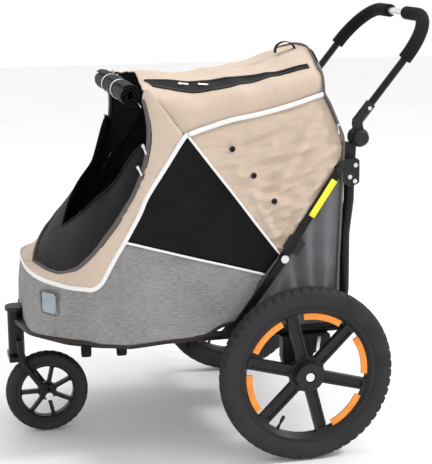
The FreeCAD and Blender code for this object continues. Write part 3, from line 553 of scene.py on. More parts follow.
def rubber(name, colour, rough=0.7, grain=500.0, bump=0.25, spec=0.3):
    """Matt rubber or closed-cell foam."""
    n = Nodes(name)
    at = n.coords("Object")
    fine = n.noise(at, grain, 3.0)
    broad = n.noise(at, 18.0, 3.0)
    tone = n.math("ADD", n.math("MULTIPLY", fine, 0.3), n.math("MULTIPLY", broad, 0.7))
    n.tint(tone, colour, 0.75, 1.35)
    n.roughen(broad, rough - 0.08, rough + 0.1)
    n.set(Specular_IOR_Level=spec)
    n.bump(fine, bump, 0.0006)
    return n.mat


BEIGE = cloth("beige_cloth", (0.61, 0.49, 0.392), sheen=0.08)
GREY = cloth("grey_melange", (0.265, 0.258, 0.254), melange=0.18, thread=0.0014, sheen=0.06)
DARK_GREY = cloth("dark_grey_cloth", (0.15, 0.152, 0.162), melange=0.05, sheen=0.05)
LINING = cloth("dark_lining", (0.016, 0.016, 0.017), sheen=0.0, spec=0.1)
NET = netting("window_net", (0.0065, 0.0055, 0.006), 0.985)
FRONT_NET = netting("front_net", (0.0085, 0.008, 0.0085), 0.94)
WHITE = cloth("white_piping", (0.86, 0.86, 0.86), thread=0.0008, sheen=0.1)
BROWN = cloth("brown_binding", (0.035, 0.027, 0.025), thread=0.0009)
BINDING = cloth("grey_binding", (0.115, 0.105, 0.102), thread=0.0009)
WEBBING = cloth("black_webbing", (0.011, 0.011, 0.012), thread=0.0016, sheen=0.02, bump=0.6, spec=0.12)
FLAP_CLOTH = cloth("black_flap_cloth", (0.010, 0.010, 0.011), thread=0.0009, sheen=0.02, spec=0.16, rough=0.6)
CUSHION = cloth("cushion_cloth", (0.2, 0.2, 0.205), melange=0.08)
BLACK_TUBE = painted("black_tube", (0.006, 0.006, 0.0065))
BLACK_PLASTIC = plastic("black_plastic", (0.013, 0.013, 0.014), spec=0.3)
RIM = plastic("rim_plastic", (0.012, 0.012, 0.013), rough=0.45, spec=0.28)
ZIP = plastic("zip_coil", (0.008, 0.008, 0.009), rough=0.4, spec=0.25)
BOARD = plastic("floor_board", (0.03, 0.03, 0.03), rough=0.6)
ORANGE = plastic("orange_insert", (0.86, 0.275, 0.035), rough=0.4)
YELLOW = plastic("yellow_label", (0.92, 0.83, 0.03), rough=0.45, bump=0.03)
REFLECTOR = plastic("reflector", (0.25, 0.3, 0.345), rough=0.25, grain=300.0, coat=0.6)
STEEL = metal("steel", (0.72, 0.72, 0.72))
BRIGHT = metal("bright_bar", (0.8, 0.8, 0.81), rough=0.22)
TYRE = rubber("tyre_rubber", (0.024, 0.023, 0.025), rough=0.68, spec=0.22)
FOAM = rubber("foam_grip", (0.008, 0.0075, 0.0075), rough=0.85, grain=260.0, bump=0.5, spec=0.15)


# ---------------- camera, floor and light
def set_camera():
    """The camera, in front of the stroller's left side and a little above it."""
    yaw, pitch, roll = 0.2467, 0.2254, -0.0041
    ahead = Vector((math.sin(yaw) * math.cos(pitch), math.cos(yaw) * math.cos(pitch), -math.sin(pitch)))
    right = Vector((math.cos(yaw), -math.sin(yaw), 0))
    up = right.cross(ahead)
    right, up = (right * math.cos(roll) + up * math.sin(roll), up * math.cos(roll) - right * math.sin(roll))
    data = bpy.data.cameras.new("camera")
    data.lens, data.sensor_width = 99.3, 36.0
    data.clip_start, data.clip_end = 0.1, 60.0
    cam = linked("camera", data)
    turn = Matrix((right, up, -ahead)).transposed()
    cam.matrix_world = Matrix.Translation(place(-314.5, -2907.1, 1147.1)) @ turn.to_4x4()
    bpy.context.scene.camera = cam


def area_light(name, at, target, size, power):
    """A round soft light that looks at a target."""
    data = bpy.data.lights.new(name, "AREA")
    data.shape, data.size, data.energy = "DISK", size, power
    at, target = Vector(at), Vector(target)
    turn = (target - at).to_track_quat("-Z", "Y").to_matrix().to_4x4()
    linked(name, data).matrix_world = Matrix.Translation(at) @ turn


def set_studio():
    """A pale floor and soft light from all round."""
    n = Nodes("studio_floor")
    at = n.coords("Object")
    n.link(n.ramp(n.noise(at, 1.5, 2.0), [(0.3, (0.9, 0.9, 0.9)), (0.7, (0.93, 0.93, 0.93))]),
           n.shader.inputs["Base Color"])
    n.set(Roughness=0.9, Specular_IOR_Level=0.1)
    rows = [[Vector((-9 + 2.25 * j, -9 + 2.25 * i, -0.0005)) for j in range(9)] for i in range(9)]
    floor = mesh_object("studio_floor", [grid_mesh(rows)], n.mat)
    world = bpy.data.worlds.new("studio")
    bpy.context.scene.world = world
    world.use_nodes = True
    back = world.node_tree.nodes["Background"]
    back.inputs["Color"].default_value = (1.0, 1.0, 1.0, 1)
    back.inputs["Strength"].default_value = 1.0
    area_light("key", (2.7, -1.2, 2.9), (0, 0, 0.5), 0.6, 66)
    area_light("fill", (-2.4, -3.0, 2.2), (0, 0, 0.5), 2.6, 6)
    area_light("top", (0.4, 0.3, 3.6), (0, 0, 0.4), 1.4, 26)
    bpy.context.scene.view_settings.view_transform = "Standard"


# ---------------- cabin key lines (X, half width, Z)
PIPE = [(-48, 0, 420), (-46, 61, 419), (-37, 117, 417), (-22, 155, 414), (-5, 184, 412), (28, 226, 410),
        (58, 246, 409), (78, 250, 407), (97, 251, 419), (112, 251, 444), (129, 251, 474), (150, 251, 508),
        (183, 250, 565), (203, 249, 607), (244, 247, 668), (284, 244, 727)]
ZIP_EDGE = [(-22, 0, 416), (-14, 60, 420), (-6, 105, 422), (5, 150, 426), (15, 185, 431), (34, 225, 445),
            (50, 243, 457), (64, 252, 472), (78, 255, 486), (92, 256, 502), (108, 254, 522), (129, 250, 547),
            (153, 248, 582), (171, 247, 610), (191, 247, 658), (203, 246, 704)]
SEAM = [(284, 244, 727), (262, 243, 766), (238, 240, 800), (214, 228, 832)]
ZIP_TOP = [(203, 246, 704), (207, 244, 745), (205, 238, 780), (200, 226, 812)]
ROOF_PIPE = [(296, 244, 736), (336, 241, 748), (393, 238, 763), (455, 235, 773), (530, 232, 790),
             (606, 228, 812)]
FOLDS = creases([
    ((606, 800), (400, 700), 9, 7), ((600, 770), (350, 715), 8, 5), ((607, 790), (500, 620), 11, 9),
    ((630, 740), (470, 640), 9, 8), ((640, 700), (470, 580), 9, 8), ((640, 660), (500, 530), 9, 8),
    ((504, 470), (440, 600), 9, 6), ((512, 480), (590, 620), 8, 6), ((420, 600), (560, 560), 9, 6),
    ((450, 545), (600, 640), 8, 6)])
GUSSET_FOLDS = creases([
    ((512, 450), (470, 300), 13, 8), ((518, 470), (535, 300), 14, 10), ((560, 560), (575, 300), 13, 9),
    ((612, 620), (600, 300), 15, 10), ((636, 660), (632, 380), 10, 6), ((480, 410), (425, 300), 10, 5)])


def spline_at(keys, t):
    """A Catmull-Rom curve through evenly numbered keys, at t from 0 to len(keys) - 1."""
    i = min(int(t), len(keys) - 2)
    f = t - i
    a = keys[i - 1] if i > 0 else keys[0] * 2 - keys[1]
    b, c = keys[i], keys[i + 1]
    e = keys[i + 2] if i + 2 < len(keys) else c * 2 - b
    return catmull(a, b, c, e, f)


def loft(columns, cols, rows):
    """Rows of points over key columns, each column a list of the same number of (x, y, z) keys."""
    keys = [[Vector(p) for p in column] for column in columns]
    out = []
    for i in range(rows):
        v = i / (rows - 1) * (len(keys[0]) - 1)
        out.append([])
        for j in range(cols):
            u = j / (cols - 1) * (len(keys) - 1)
            near = max(int(u) - 1, 0)
            band = keys[near:near + 4] if near + 4 <= len(keys) else keys[-4:] if len(keys) > 3 else keys
            first = keys.index(band[0]) if band[0] in keys else 0
            column = [spline_at(k, v) for k in band]
            out[-1].append(spline_at(column, min(max(u - first, 0), len(column) - 1)))
    return out


def relax(rows, height):
    """Adds soft unevenness to rows of left-side points given with positive half width."""
    done = []
    for row in rows:
        done.append([])
        for p in row:
            push = ripple(Vector((p.x, p.y, p.z)), 55, height) + drawn(p.x * 0.5, p.z * 1.3, height * 1.2)
            done[-1].append((p.x, -(p.y + push * min(p.y / 60, 1.0)), p.z))
    return done


def line_points(keys, count):
    """Points in metres on the left side along (x, half width, z) keys."""
    return [place(p.x, -p.y, p.z) for p in smooth(keys, count)]


def outward(points):
    """For a line on the cabin wall, the direction away from the cabin's middle at each point."""
    away = [p - CABIN_MIDDLE for p in points]
    return [Vector((d.x, d.y * 2.2, d.z * 0.25)).normalized() for d in away]


def face_tree(obj):
    """A search tree of a sheet's outer face."""
    verts = [v.co.copy() for v in obj.data.vertices]
    return BVHTree.FromPolygons(verts, [tuple(f.vertices) for f in obj.data.polygons])


def snapped(tree, p, way, lift):
    """A point moved along a direction onto a sheet, then lifted off it by some millimetres."""
    way = way.normalized()
    hit = tree.ray_cast(p + way * 0.05, -way, 0.11)[0]
    return (p if hit is None else hit) + way * (lift * MM)


def trim(name, lines, width, height, material, slot):
    """Bands of cloth or coil along lines of (x, half width, z) keys, on both sides."""
    parts = []
    for keys, count in lines:
        points = line_points(keys, count)
        part = ribbon(points, outward(points), width * MM, height * MM)
        parts += [part, mirrored(part)]
    trim_piece(name, parts, material, slot)


# ---------------- cabin
def grey_base():
    """The melange base that wraps the nose and runs back under the side windows to the rail."""
    columns = [
        [(-52, 0, 283), (-53, 0, 350), (-48, 0, 419)],
        [(-52, 60, 283), (-52, 60, 350), (-46, 61, 418)],
        [(-50, 105, 284), (-47, 111, 350), (-37, 117, 416)],
        [(-44, 145, 285), (-37, 152, 350), (-22, 155, 413)],
        [(-21, 183, 287), (-12, 187, 350), (-5, 184, 411)],
        [(18, 226, 290), (24, 228, 350), (28, 226, 409)],
        [(60, 250, 288), (60, 250, 350), (58, 246, 408)],
        [(88, 264, 283), (84, 258, 350), (78, 250, 406)],
        [(108, 267, 281), (100, 259, 355), (97, 250, 418)],
        [(125, 269, 279), (118, 259, 362), (112, 250, 444)],
        [(145, 270, 277), (137, 259, 372), (129, 250, 474)],
        [(165, 270, 276), (158, 259, 384), (150, 250, 508)],
        [(242, 264, 279), (240, 257, 372), (240, 250, 481)],
        [(320, 257, 282), (322, 253, 362), (326, 248, 456)],
        [(365, 254, 302), (376, 251, 362), (400, 248, 434)],
        [(400, 252, 316), (414, 250, 366), (440, 247, 422)],
        [(440, 250, 368), (450, 248, 392), (468, 247, 415)]]
    rows = relax(loft(columns, 190, 26), 1.1)
    sheet("base_cloth", rows, GREY, BASE_T, LINING, ["cabin_base"], "grey_fabric")


def side_front():
    """The beige band between the opening's zip edge and the white piping, up to the shoulder."""
    outer = PIPE + SEAM[1:] + [(211, 210, 831), (212, 188, 829)]
    inner = ZIP_EDGE + ZIP_TOP[1:] + [(203, 211, 819), (209, 188, 824)]
    columns = [[a, tuple((p + q) / 2 + bow for p, q, bow in zip(a, b, (0, 1.5, 1.5))), b]
               for a, b in zip(outer, inner)]
    sheet("nose_band_cloth", relax(loft(columns, 200, 9), 0.8), BEIGE, CLOTH_T, LINING)


def side_window():
    """The black net window, a leaning triangle with its rear corner cut off."""
    left = [(150, 249, 508), (183, 248, 565), (203, 247, 607), (244, 245, 668), (293, 242, 729)]
    right = [(465, 246, 415), (484, 246.5, 437), (500, 247, 459), (405, 246, 585), (298, 242, 727)]
    low, high = smooth(left, 40), resample(right, 40)
    rows = []
    for i in range(40):
        rows.append([])
        for j in range(60):
            p = low[i].lerp(high[i], j / 59)
            sag = 5 * math.sin(math.pi * j / 59) * math.sin(math.pi * min(i / 39 * 1.1, 1.0))
            rows[-1].append((p.x, -(p.y - sag), p.z))
    sheet("side_window_net", rows, NET, NET_T, nodes=["side_windows"], slot="mesh")


REAR_EDGE = [(606, 228, 812), (617, 230, 793), (629, 234, 764), (640, 240, 735), (647, 243, 712),
             (646, 246, 672)]


def side_panel():
    """The creased beige panel behind the window, down to the rail."""
    left = [(296, 243.5, 731), (345, 246, 666), (400, 247, 594), (452, 248, 524), (501, 248, 461)]
    right = [(606, 228, 812), (629, 234, 764), (647, 243, 712), (645, 247, 660), (590, 250, 580),
             (548, 251, 516), (508, 250, 454)]
    low, high = smooth(left, 90), resample(smooth(right, 160), 90)
    rows = []
    for i in range(90):
        rows.append([])
        for j in range(80):
            t = j / 79
            p = low[i].lerp(high[i], t)
            z = min(p.z, roof_low(p.x))
            y = wall_y(p.x, z) if z > 700 else p.y
            fade = math.sin(math.pi * t) ** 0.4 * min(i / 6, 1.0)
            push = pull(p.x, z, FOLDS) * 0.9 + drawn(p.x, z, 6.5) + ripple(Vector((p.x, 0, z)), 90, 5.0) - 4
            rows[-1].append((p.x, -(min(y, p.y + 2) + push * max(fade, 0)), z))
    sheet("side_panel_cloth", rows, BEIGE, PANEL_T, LINING)


def roof():
    """One sheet from the white piping of one side, over both shoulders, to the other side's piping."""
    across, length = 30, 120
    rows = []
    for j in range(across):
        s = j / (across - 1)
        x0 = 296.0
        for _ in range(6):
            y, z = section(x0, roof_low(x0), across)[j]
            seam_x = along([(731, 290), (766, 262), (800, 238), (832, 214)], z)
            x0 = seam_x if s < 0.42 and z < 832 else 205 + 22 * (1 - abs(y) / 215) ** 1.1
        x1 = 606 + 22 * ease((s - 0.25) / 0.75)
        row = []
        for i in range(length):
            x = x0 + (x1 - x0) * i / (length - 1)
            y, z = section(x, roof_low(x), across)[j]
            fall = 3.5 * math.sin(math.pi * min(max((x - 250) / 350, 0), 1)) * s
            bump = ripple(Vector((x, y, z)), 70, 2.6) + roof_fold(x) + drawn(x, z + abs(y) * 0.4, 1.8)
            out, up = bump * 0.5 if z < 820 else 0, bump if z >= 800 else 0
            row.append(Vector((x, -y - out, z - fall + up)))
        rows.append(row)
    left = [[place(p.x, p.y, p.z) for p in row] for row in rows]
    right = [[place(p.x, -p.y, p.z) for p in row] for row in rows[-2::-1]]
    verts, faces = grid_mesh(left + right)
    sheet = mesh_object("canopy_roof_cloth", [(verts, face_out(verts, faces, ROOF_MIDDLE))], BEIGE)
    thicken(sheet, CLOTH_T, LINING)
    return soft(sheet, "cabin_canopy", slot="beige_fabric"), rows


def roof_low(x):
    """Height of the roof sheet's lower edge."""
    keys = [(205, 700), (284, 727), (296, 736), (336, 748), (393, 763), (455, 773), (530, 790), (606, 812)]
    return along(keys, x)


def roof_fold(x):
    """Shallow dips between the hoops under the roof."""
    return sum(depth * math.exp(-((x - at) / width) ** 2)
               for at, width, depth in ((330, 40, -3.0), (500, 45, -3.0), (415, 22, 2.0)))


def rear_panel():
    """The dark rear wall between the two rear edges, whose zipped net door is shown only by the zip laid on it
    in zips().
    """
    heights = [285, 450, 600, 672, 712, 764, 812, 850, 866]
    edge = [(636, 246), (641, 247), (644, 247), (646, 246), (646, 243), (630, 235), (608, 229), (606, 219),
            (604, 193)]
    middle = [636, 645, 648, 650, 650, 648, 643, 638, 629]
    columns = []
    for k, (z, (ex, ey), mx) in enumerate(zip(heights, edge, middle)):
        lift = 34 if k == len(heights) - 1 else 0
        columns.append([(ex, ey, z), (ex * 0.4 + mx * 0.6 + 2, ey * 0.72, z + lift * 0.4),
                        (mx, ey * 0.36, z + lift * 0.9), (mx, 0, z + lift)])
    rows = loft(columns, 70, 34)
    done = []
    for i, row in enumerate(rows):
        t = i / (len(rows) - 1)
        done.append([(p.x + ripple(Vector((p.x, p.y, p.z)), 60, 3) * math.sin(math.pi * t * 0.5), -p.y, p.z)
                     for p in row])
    return sheet("rear_wall_cloth", done, DARK_GREY, PANEL_T, LINING, ["rear_panel"], "dark_fabric")


RAIL_LINE = [(396, 300), (440, 362), (478, 414), (507, 452), (548, 516), (590, 580), (633, 645), (645, 664)]


def gussets():
    """Loose grey cloth under each rail, hanging in folds."""
    cols, tall, low_z = 120, 60, 285
    rows = []
    for i in range(tall):
        t = i / (tall - 1)
        rows.append([])
        for j in range(cols):
            x = 396 + 249 * j / (cols - 1)
            z = low_z + (along(RAIL_LINE, x) + 12 - low_z) * t
            fade = math.sin(math.pi * t ** 0.8) ** 0.5 if 0 < i < tall - 1 else 0.0
            fade *= ease(j / 6) * ease((cols - 1 - j) / 6)
            push = pull(x, z, GUSSET_FOLDS) * 1.1 + ripple(Vector((x, 0, z)), 50, 3.5)
            rows[-1].append((x, -(245 + 2 * ease(t * 3 - 2) + push * fade), z))
    sheet("side_gusset_cloth", rows, DARK_GREY, CLOTH_T, LINING, ["side_gussets"], "grey_fabric")


NET_TOP = [(47, 0, 494), (58, 35, 510), (72, 70, 530), (86, 100, 549), (110, 125, 579), (143, 150, 614),
           (158, 172, 640), (170, 190, 668), (180, 208, 690), (188, 224, 704), (194, 234, 712), (199, 241, 717)]


def front_net():
    """The net panel that closes the lower half of the opening, with its bound V edge."""
    zip_line = smooth([(x + 4, y - 3 if y > 3 else y, z - 1) for x, y, z in ZIP_EDGE]
                      + [(203, 243, 716)], 90)
    top = smooth(NET_TOP, 90)
    rows = []
    for i in range(30):
        t = i / 29
        rows.append([])
        for a, b in zip(zip_line, top):
            p = a.lerp(b, t)
            sag = 9 * math.sin(math.pi * t) * min((b - a).length / 120, 1.0)
            rows[-1].append((p.x - sag * 0.6, -(p.y + sag * 0.3 * min(p.y / 80, 1)), p.z - sag * 0.5))
    sheet("front_net_panel", rows, FRONT_NET, NET_T, nodes=["front_mesh_panel"], slot="mesh")
    trim("front_net_binding", [(NET_TOP, 90)], 9, 3.5, WEBBING, "webbing")


def rolled_flap():
    """The front flap rolled up on the canopy's front edge, its spiral showing at both ends."""
    half, turns, start, thick = 182, 3.0, 7.5, 5.6
    x0, z0 = 181, 818
    profile = []
    steps = 96
    for k in range(steps + 1):
        a = 2 * math.pi * turns * k / steps
        r = start + thick * a / (2 * math.pi)
        profile.append((r * math.cos(a + 2.2), r * math.sin(a + 2.2)))
    rows = []
    for j in range(41):
        y = -half + 2 * half * j / 40
        squeeze = 1 - 0.16 * math.exp(-((abs(y) - 60) / 14) ** 2)
        droop = 3.0 * (y / half) ** 2
        rows.append([])
        for k, (px, pz) in enumerate(profile):
            w = ripple(Vector((px * 3, y, pz * 3)), 40, 1.6)
            end = ripple(Vector((k * 2.0, 7.0 * (1 if y > 0 else -1), 3)), 9, 4.0) if j in (0, 40) else 0.0
            rows[-1].append(place(x0 + (px + w) * squeeze, y + end, z0 - droop + (pz + w) * squeeze))
    verts, faces = grid_mesh(rows)
    roll = mesh_object("rolled_flap_cloth", [(verts, faces)], FLAP_CLOTH)
    thicken(roll, PANEL_T, offset=0.0)
    soft(roll, "rolled_flap", slot="dark_fabric")
    parts = []
    for y in (-60, 60):
        ring = []
        for k in range(29):
            a = 2 * math.pi * k / 28
            ring.append(place(x0 + 22.5 * math.cos(a), y, z0 - 0.9 + 22.5 * math.sin(a)))
        middle = place(x0, y, z0)
        parts.append(ribbon(ring, [p - middle for p in ring], 9 * MM, 1.6 * MM))
    trim_piece("flap_straps", parts, WHITE, "white_piping")


def cushion():
    """The loose floor cushion, filled by a short cloth simulation."""
    x0, x1, half, z0, z1 = 2, 618, 190, 301, 314
    bm = bmesh.new()
    bmesh.ops.create_cube(bm, size=1.0)
    low, high = place(x0, -half, z0), place(x1, half, z1)
    for v in bm.verts:
        v.co = Vector(((low[k] + high[k]) / 2 + v.co[k] * (high[k] - low[k]) for k in range(3)))
    bmesh.ops.bevel(bm, geom=[e for e in bm.edges if abs(e.verts[0].co.z - e.verts[1].co.z) > 0.005],
                    offset=0.045, segments=5, profile=0.5, affect="EDGES")
    mesh = bpy.data.meshes.new("floor_cushion_pad")
    bm.to_mesh(mesh)
    bm.free()
    obj = linked("floor_cushion_pad", mesh)
    bpy.context.view_layer.objects.active = obj
    remesh = obj.modifiers.new("remesh", "REMESH")
    remesh.mode, remesh.voxel_size = "VOXEL", 0.006
    bpy.ops.object.modifier_apply(modifier="remesh")
    start = [v.co.copy() for v in obj.data.vertices]
    sim = obj.modifiers.new("fill", "CLOTH")
    sim.settings.use_pressure = True
    sim.settings.uniform_pressure_force = 4.0
    sim.settings.quality = 6
    sim.settings.effector_weights.gravity = 0.0
    sim.point_cache.frame_start, sim.point_cache.frame_end = 1, 20
    scene = bpy.context.scene
    for f in range(1, 21):
        scene.frame_set(f)
    bpy.ops.object.modifier_apply(modifier="fill")
    scene.frame_set(1)
    cap = 0.004
    for v, was in zip(obj.data.vertices, start):
        step = v.co - was
        if step.length > cap:
            v.co = was + step * (cap / step.length)
        seam = min(abs((v.co.x - place(k, 0, 0).x)) for k in (130, 310, 490)) / MM
        if v.co.z > was.z - 0.002 and was.z > (low.z + high.z) / 2:
            v.co.z -= 0.004 * math.exp(-(seam / 7) ** 2)
            v.co.z += ripple(v.co / MM, 60, 1.2) * MM
        v.co.z = max(v.co.z, place(0, 0, 297.3).z)
    for poly in obj.data.polygons:
        poly.use_smooth = True
    obj.data.materials.append(CUSHION)
    cloth_uv(obj.data)
    obj.modifiers.new("soften", "SUBSURF").render_levels = 1
    soft(obj, "floor_cushion", slot="cushion")
    around = resample([place(x, y, 307.5) for x, y in outline(x0 - 2, x1 + 2, half + 2, 46)], 220)
    trim_piece("floor_cushion_piping", [ring_tube(around, 2.4 * MM, 8)], WEBBING, "webbing")


def outline(x0, x1, half, corner):
    """A closed rounded rectangle in the floor's plane."""
    points = []
    for cx, cy, a0 in ((x1 - corner, half - corner, 0), (x0 + corner, half - corner, 90),
                       (x0 + corner, -half + corner, 180), (x1 - corner, -half + corner, 270)):
        for k in range(9):
            a = math.radians(a0 + 90 * k / 8)
            points.append((cx + corner * math.cos(a), cy + corner * math.sin(a)))
    points.append(points[0])
    return points


# ---------------- cabin trim
def piping():
    """White piping round the nose, over the windows and along the roof."""
    nose = [(x, y + 1.5, z) for x, y, z in PIPE] + [(296, 245, 735)]
    back = [(x, y + 2, z) for x, y, z in ROOF_PIPE]
    trim("white_piping", [(nose, 150), (back, 70)], 10.5, 4.6, WHITE, "white_piping")
    thin = [([(150, 252, 508), (230, 251.5, 484), (310, 250.5, 460), (390, 249.5, 437), (467, 248.5, 414)], 60),
            ([(296, 245, 731), (345, 248, 666), (400, 249.5, 594), (452, 250, 524), (502, 250, 459)], 60)]
    trim("white_window_seams", thin, 5.5, 3.2, WHITE, "white_piping")
    lines = [(PIPE[6:] + [(292, 244, 730)], 150), (ROOF_PIPE, 70)] + thin
    inside = [([(x, y - 11, z) for x, y, z in keys], count) for keys, count in lines]
    trim("inner_seam_tape", inside, 13, 2.0, LINING, "dark_fabric")
    hem = [(-52, 0, 284), (-52, 60, 284), (-50, 106, 285), (-44, 146, 286), (-21, 184, 288), (18, 227, 291),
           (60, 251, 289), (88, 265, 284), (108, 268, 282), (145, 271, 278), (165, 271, 277), (242, 265, 280),
           (320, 258, 283), (364, 255, 303), (398, 252, 309)]
    trim("hem_binding", [(hem, 150)], 9, 4.0, BROWN, "brown_piping")


def zips(roof_rows, rear_wall):
    """Zip coils and their bindings, with sliders and pulls."""
    edge = ZIP_EDGE + ZIP_TOP[1:]
    outer = [(x + (0 if i == 0 else 1.5), y + 2, z + 1) for i, (x, y, z) in enumerate(edge)]
    trim("opening_binding", [(outer, 170)], 9, 4.2, BINDING, "grey_fabric")
    inner = [(x + 5, max(y - 3, 0), z + 1) for x, y, z in edge[:9]]
    inner += [(x + 6, y - 0.5, z + 1) for x, y, z in edge[9:]]
    trim("opening_zip", [(inner, 170)], 7, 3.4, ZIP, "zip")
    rear = [(row[-1].x + 1, abs(row[-1].y) + 1, row[-1].z + 1) for row in roof_rows[::-3] if row[-1].z > 818]
    rear += [(x + 2, y + 2, z) for x, y, z in REAR_EDGE] + [(645, 249, 560), (641, 249, 450), (636, 248, 300)]
    trim("rear_edge_binding", [(rear, 90)], 8, 4.0, BINDING, "grey_fabric")
    window = [(652, 0, 330), (652, 95, 332), (652, 140, 350), (653, 158, 400), (653, 160, 600), (650, 156, 740),
              (646, 135, 800), (640, 90, 834), (638, 0, 845)]
    back, tree = Vector((1, 0, 0)), face_tree(rear_wall)
    points = [snapped(tree, place(x, -y, z), back, 1.0) for x, y, z in smooth(window, 130)]
    part = ribbon(points, [back] * len(points), 8 * MM, 3 * MM)
    trim_piece("rear_door_zip", [part, mirrored(part)], ZIP, "zip")
    pulls = []
    for x, y, z, lean in ((195, 248, 716, 0.35), (183, 249, 670, 0.45), (638, 239, 742, 0.1)):
        pulls += zip_pull(place(x, -y - 2, z), Vector((lean, 0, -1)), Vector((0, -1, 0)))
    pulls += [mirrored(p) for p in pulls]
    pulls += zip_pull(snapped(tree, place(656, -159, 520), back, 2.4), Vector((0, 0, -1)), back)
    trim_piece("zip_pulls", pulls, STEEL, "steel")


def zip_pull(at, hang, face):
    """A slider with its hanging tab."""
    hang = hang.normalized()
    tab_at = at + hang * 0.011 + face * 0.0015
    return [block(at, hang, face, (0.008, 0.006, 0.004)), block(tab_at, hang, face, (0.015, 0.004, 0.0014))]


def shoulder_y(x, z):
    """Half width of the canopy's shoulder at a height, between the two nearest points of its section."""
    profile = section(x, 760, 60)
    for (y_a, z_a), (y_b, z_b) in zip(profile, profile[1:]):
        if z_a <= z < z_b:
            return max(y_a + (y_b - y_a) * (z - z_a) / (z_b - z_a), 120)
    return 120


def shoulder_slit(roof_sheet):
    """The zipped net slit on the left shoulder, lens-shaped at the front and thinning to the rear."""
    tree = face_tree(roof_sheet)
    low = [(236, 836), (271, 826), (317, 821), (365, 824), (409, 829), (480, 845), (540, 857), (588, 865)]
    high = [(226, 851), (279, 843), (313, 838), (382, 838), (430, 841), (480, 849), (540, 860), (588, 868)]
    rows, count = [], 90
    curve_low, curve_high = (slit_curve(keys, count) for keys in (low, high))
    for i in range(7):
        t = i / 6
        rows.append([snapped(tree, a.lerp(b, t), up_normal(a), 2.0) for a, b in zip(curve_low, curve_high)])
    verts, faces = grid_mesh(rows)
    net = mesh_object("roof_slit_net", [(verts, face_out(verts, faces, ROOF_MIDDLE))], NET)
    soft(net, slot="mesh")
    parts = []
    for line in (curve_low, curve_high):
        points = [snapped(tree, p, up_normal(p), 2.8) for p in line]
        parts.append(ribbon(points, [up_normal(p) for p in points], 6 * MM, 3 * MM))
    trim_piece("roof_slit_zip", parts, ZIP, "zip")
    pulls = []
    for x, z in ((300, 832), (345, 831)):
        at = on_shoulder(x, z)
        pulls += zip_pull(snapped(tree, at, up_normal(at), 4.6), Vector((0.95, -0.2, -0.1)), up_normal(at))
    trim_piece("roof_slit_pulls", pulls, STEEL, "steel")


def on_shoulder(x, z):
    """A place on the left shoulder."""
    return place(x, -shoulder_y(x, z), z)


def slit_curve(keys, count, window=9):
    """A line on the shoulder through (x, z) keys, with its half width averaged along the line."""
    line = smooth([Vector((x, 0, z)) for x, z in keys], count)
    widths = [shoulder_y(p.x, p.z) for p in line]
    points = []
    for i, p in enumerate(line):
        near = widths[max(i - window, 0):i + window + 1]
        points.append(place(p.x, -sum(near) / len(near), p.z))
    return points


def up_normal(p):
    """Rough outward direction on the canopy's shoulder."""
    return Vector((0, -0.6 if p.y < 0 else 0.6, 0.8))


NOSE_SIDE = [(-53, 60), (-47, 111), (-37, 152), (-12, 187), (24, 228), (60, 250)]


def small_trim():
    """Eyelets with painted-shade caps in their holes, reflectors, webbing loops and the loop on the roof."""
    rings, hole_shades = [], []
    for x, z in ((394, 700), (441, 640), (487, 581)):
        y = wall_y(x, z) if z > 690 else 247.5
        at, out = place(x, -y - 1.5 - max(pull(x, z, FOLDS), 0), z), Vector((0, -1, 0.02))
        rings.append(turned_part(at, out, [(3.6, 0), (3.6, 1.8), (4.6, 2.6), (6.2, 1.9), (6.9, 0.2)], 24))
        # Dark caps close each eyelet's hole: painted shade for the dim inside of the cabin seen through it.
        hole_shades.append(turned_part(at, out, [(3.7, 0.2), (3.7, 0.8), (0.01, 0.9)], 24))
    trim_piece("eyelets", rings + [mirrored(p) for p in rings], BROWN, "brown_piping")
    trim_piece("eyelet_hole_shade", hole_shades + [mirrored(p) for p in hole_shades], ZIP, "zip")
    rows = []
    for i in range(15):
        z = 345 + 46 * i / 14
        rows.append([])
        for k in range(13):
            x = -22 + 26 * k / 12
            inset_corner = 3.5 * (max(abs(i - 7) - 5, 0) / 2) * (max(abs(k - 6) - 4, 0) / 2)
            y = along(NOSE_SIDE, x) + 2.2
            shrink = inset_corner * (1 if k < 6 else -1)
            rows[-1].append((x + shrink, -y, z))
    sheet("nose_reflectors", rows, REFLECTOR, CLOTH_T, slot="reflector", offset=1.0)
    corners = [(-24, 343), (6, 343), (7, 368), (6, 393), (-24, 393), (-25, 368), (-24, 343)]
    frame_line = [(x, along(NOSE_SIDE, x) + 3, z) for x, z in corners]
    trim("reflector_borders", [(frame_line, 60)], 3.4, 2.6, DARK_GREY, "dark_fabric")
    loop = [(562, 0, 884), (566, 0, 900), (580, 0, 909), (597, 0, 908), (608, 0, 899), (611, 0, 888)]
    points = [place(*p) for p in smooth(loop, 40)]
    normals = [(p - place(587, 0, 880)).normalized() for p in points]
    trim_piece("roof_loop", [ribbon(points, normals, 22 * MM, 2.4 * MM)], WEBBING, "webbing")
    loops = []
    for x in (63, 140, 300):
        y = along([(63, 252), (140, 262), (300, 256)], x)
        hang = ((4, 284), (3, 270), (7, 258), (16, 252), (26, 258), (28, 276))
        points = resample(smooth([place(x, -y + inward, z) for inward, z in hang], 30), 26)
        middle = place(x, -y + 15, 268)
        loops.append(ribbon(points, [(p - middle).normalized() for p in points], 20 * MM, 2.2 * MM))
    loops += [mirrored(p) for p in loops]
    base = mesh_object("frame_loops", loops, WEBBING, weld=0)
    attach(base, "chassis")


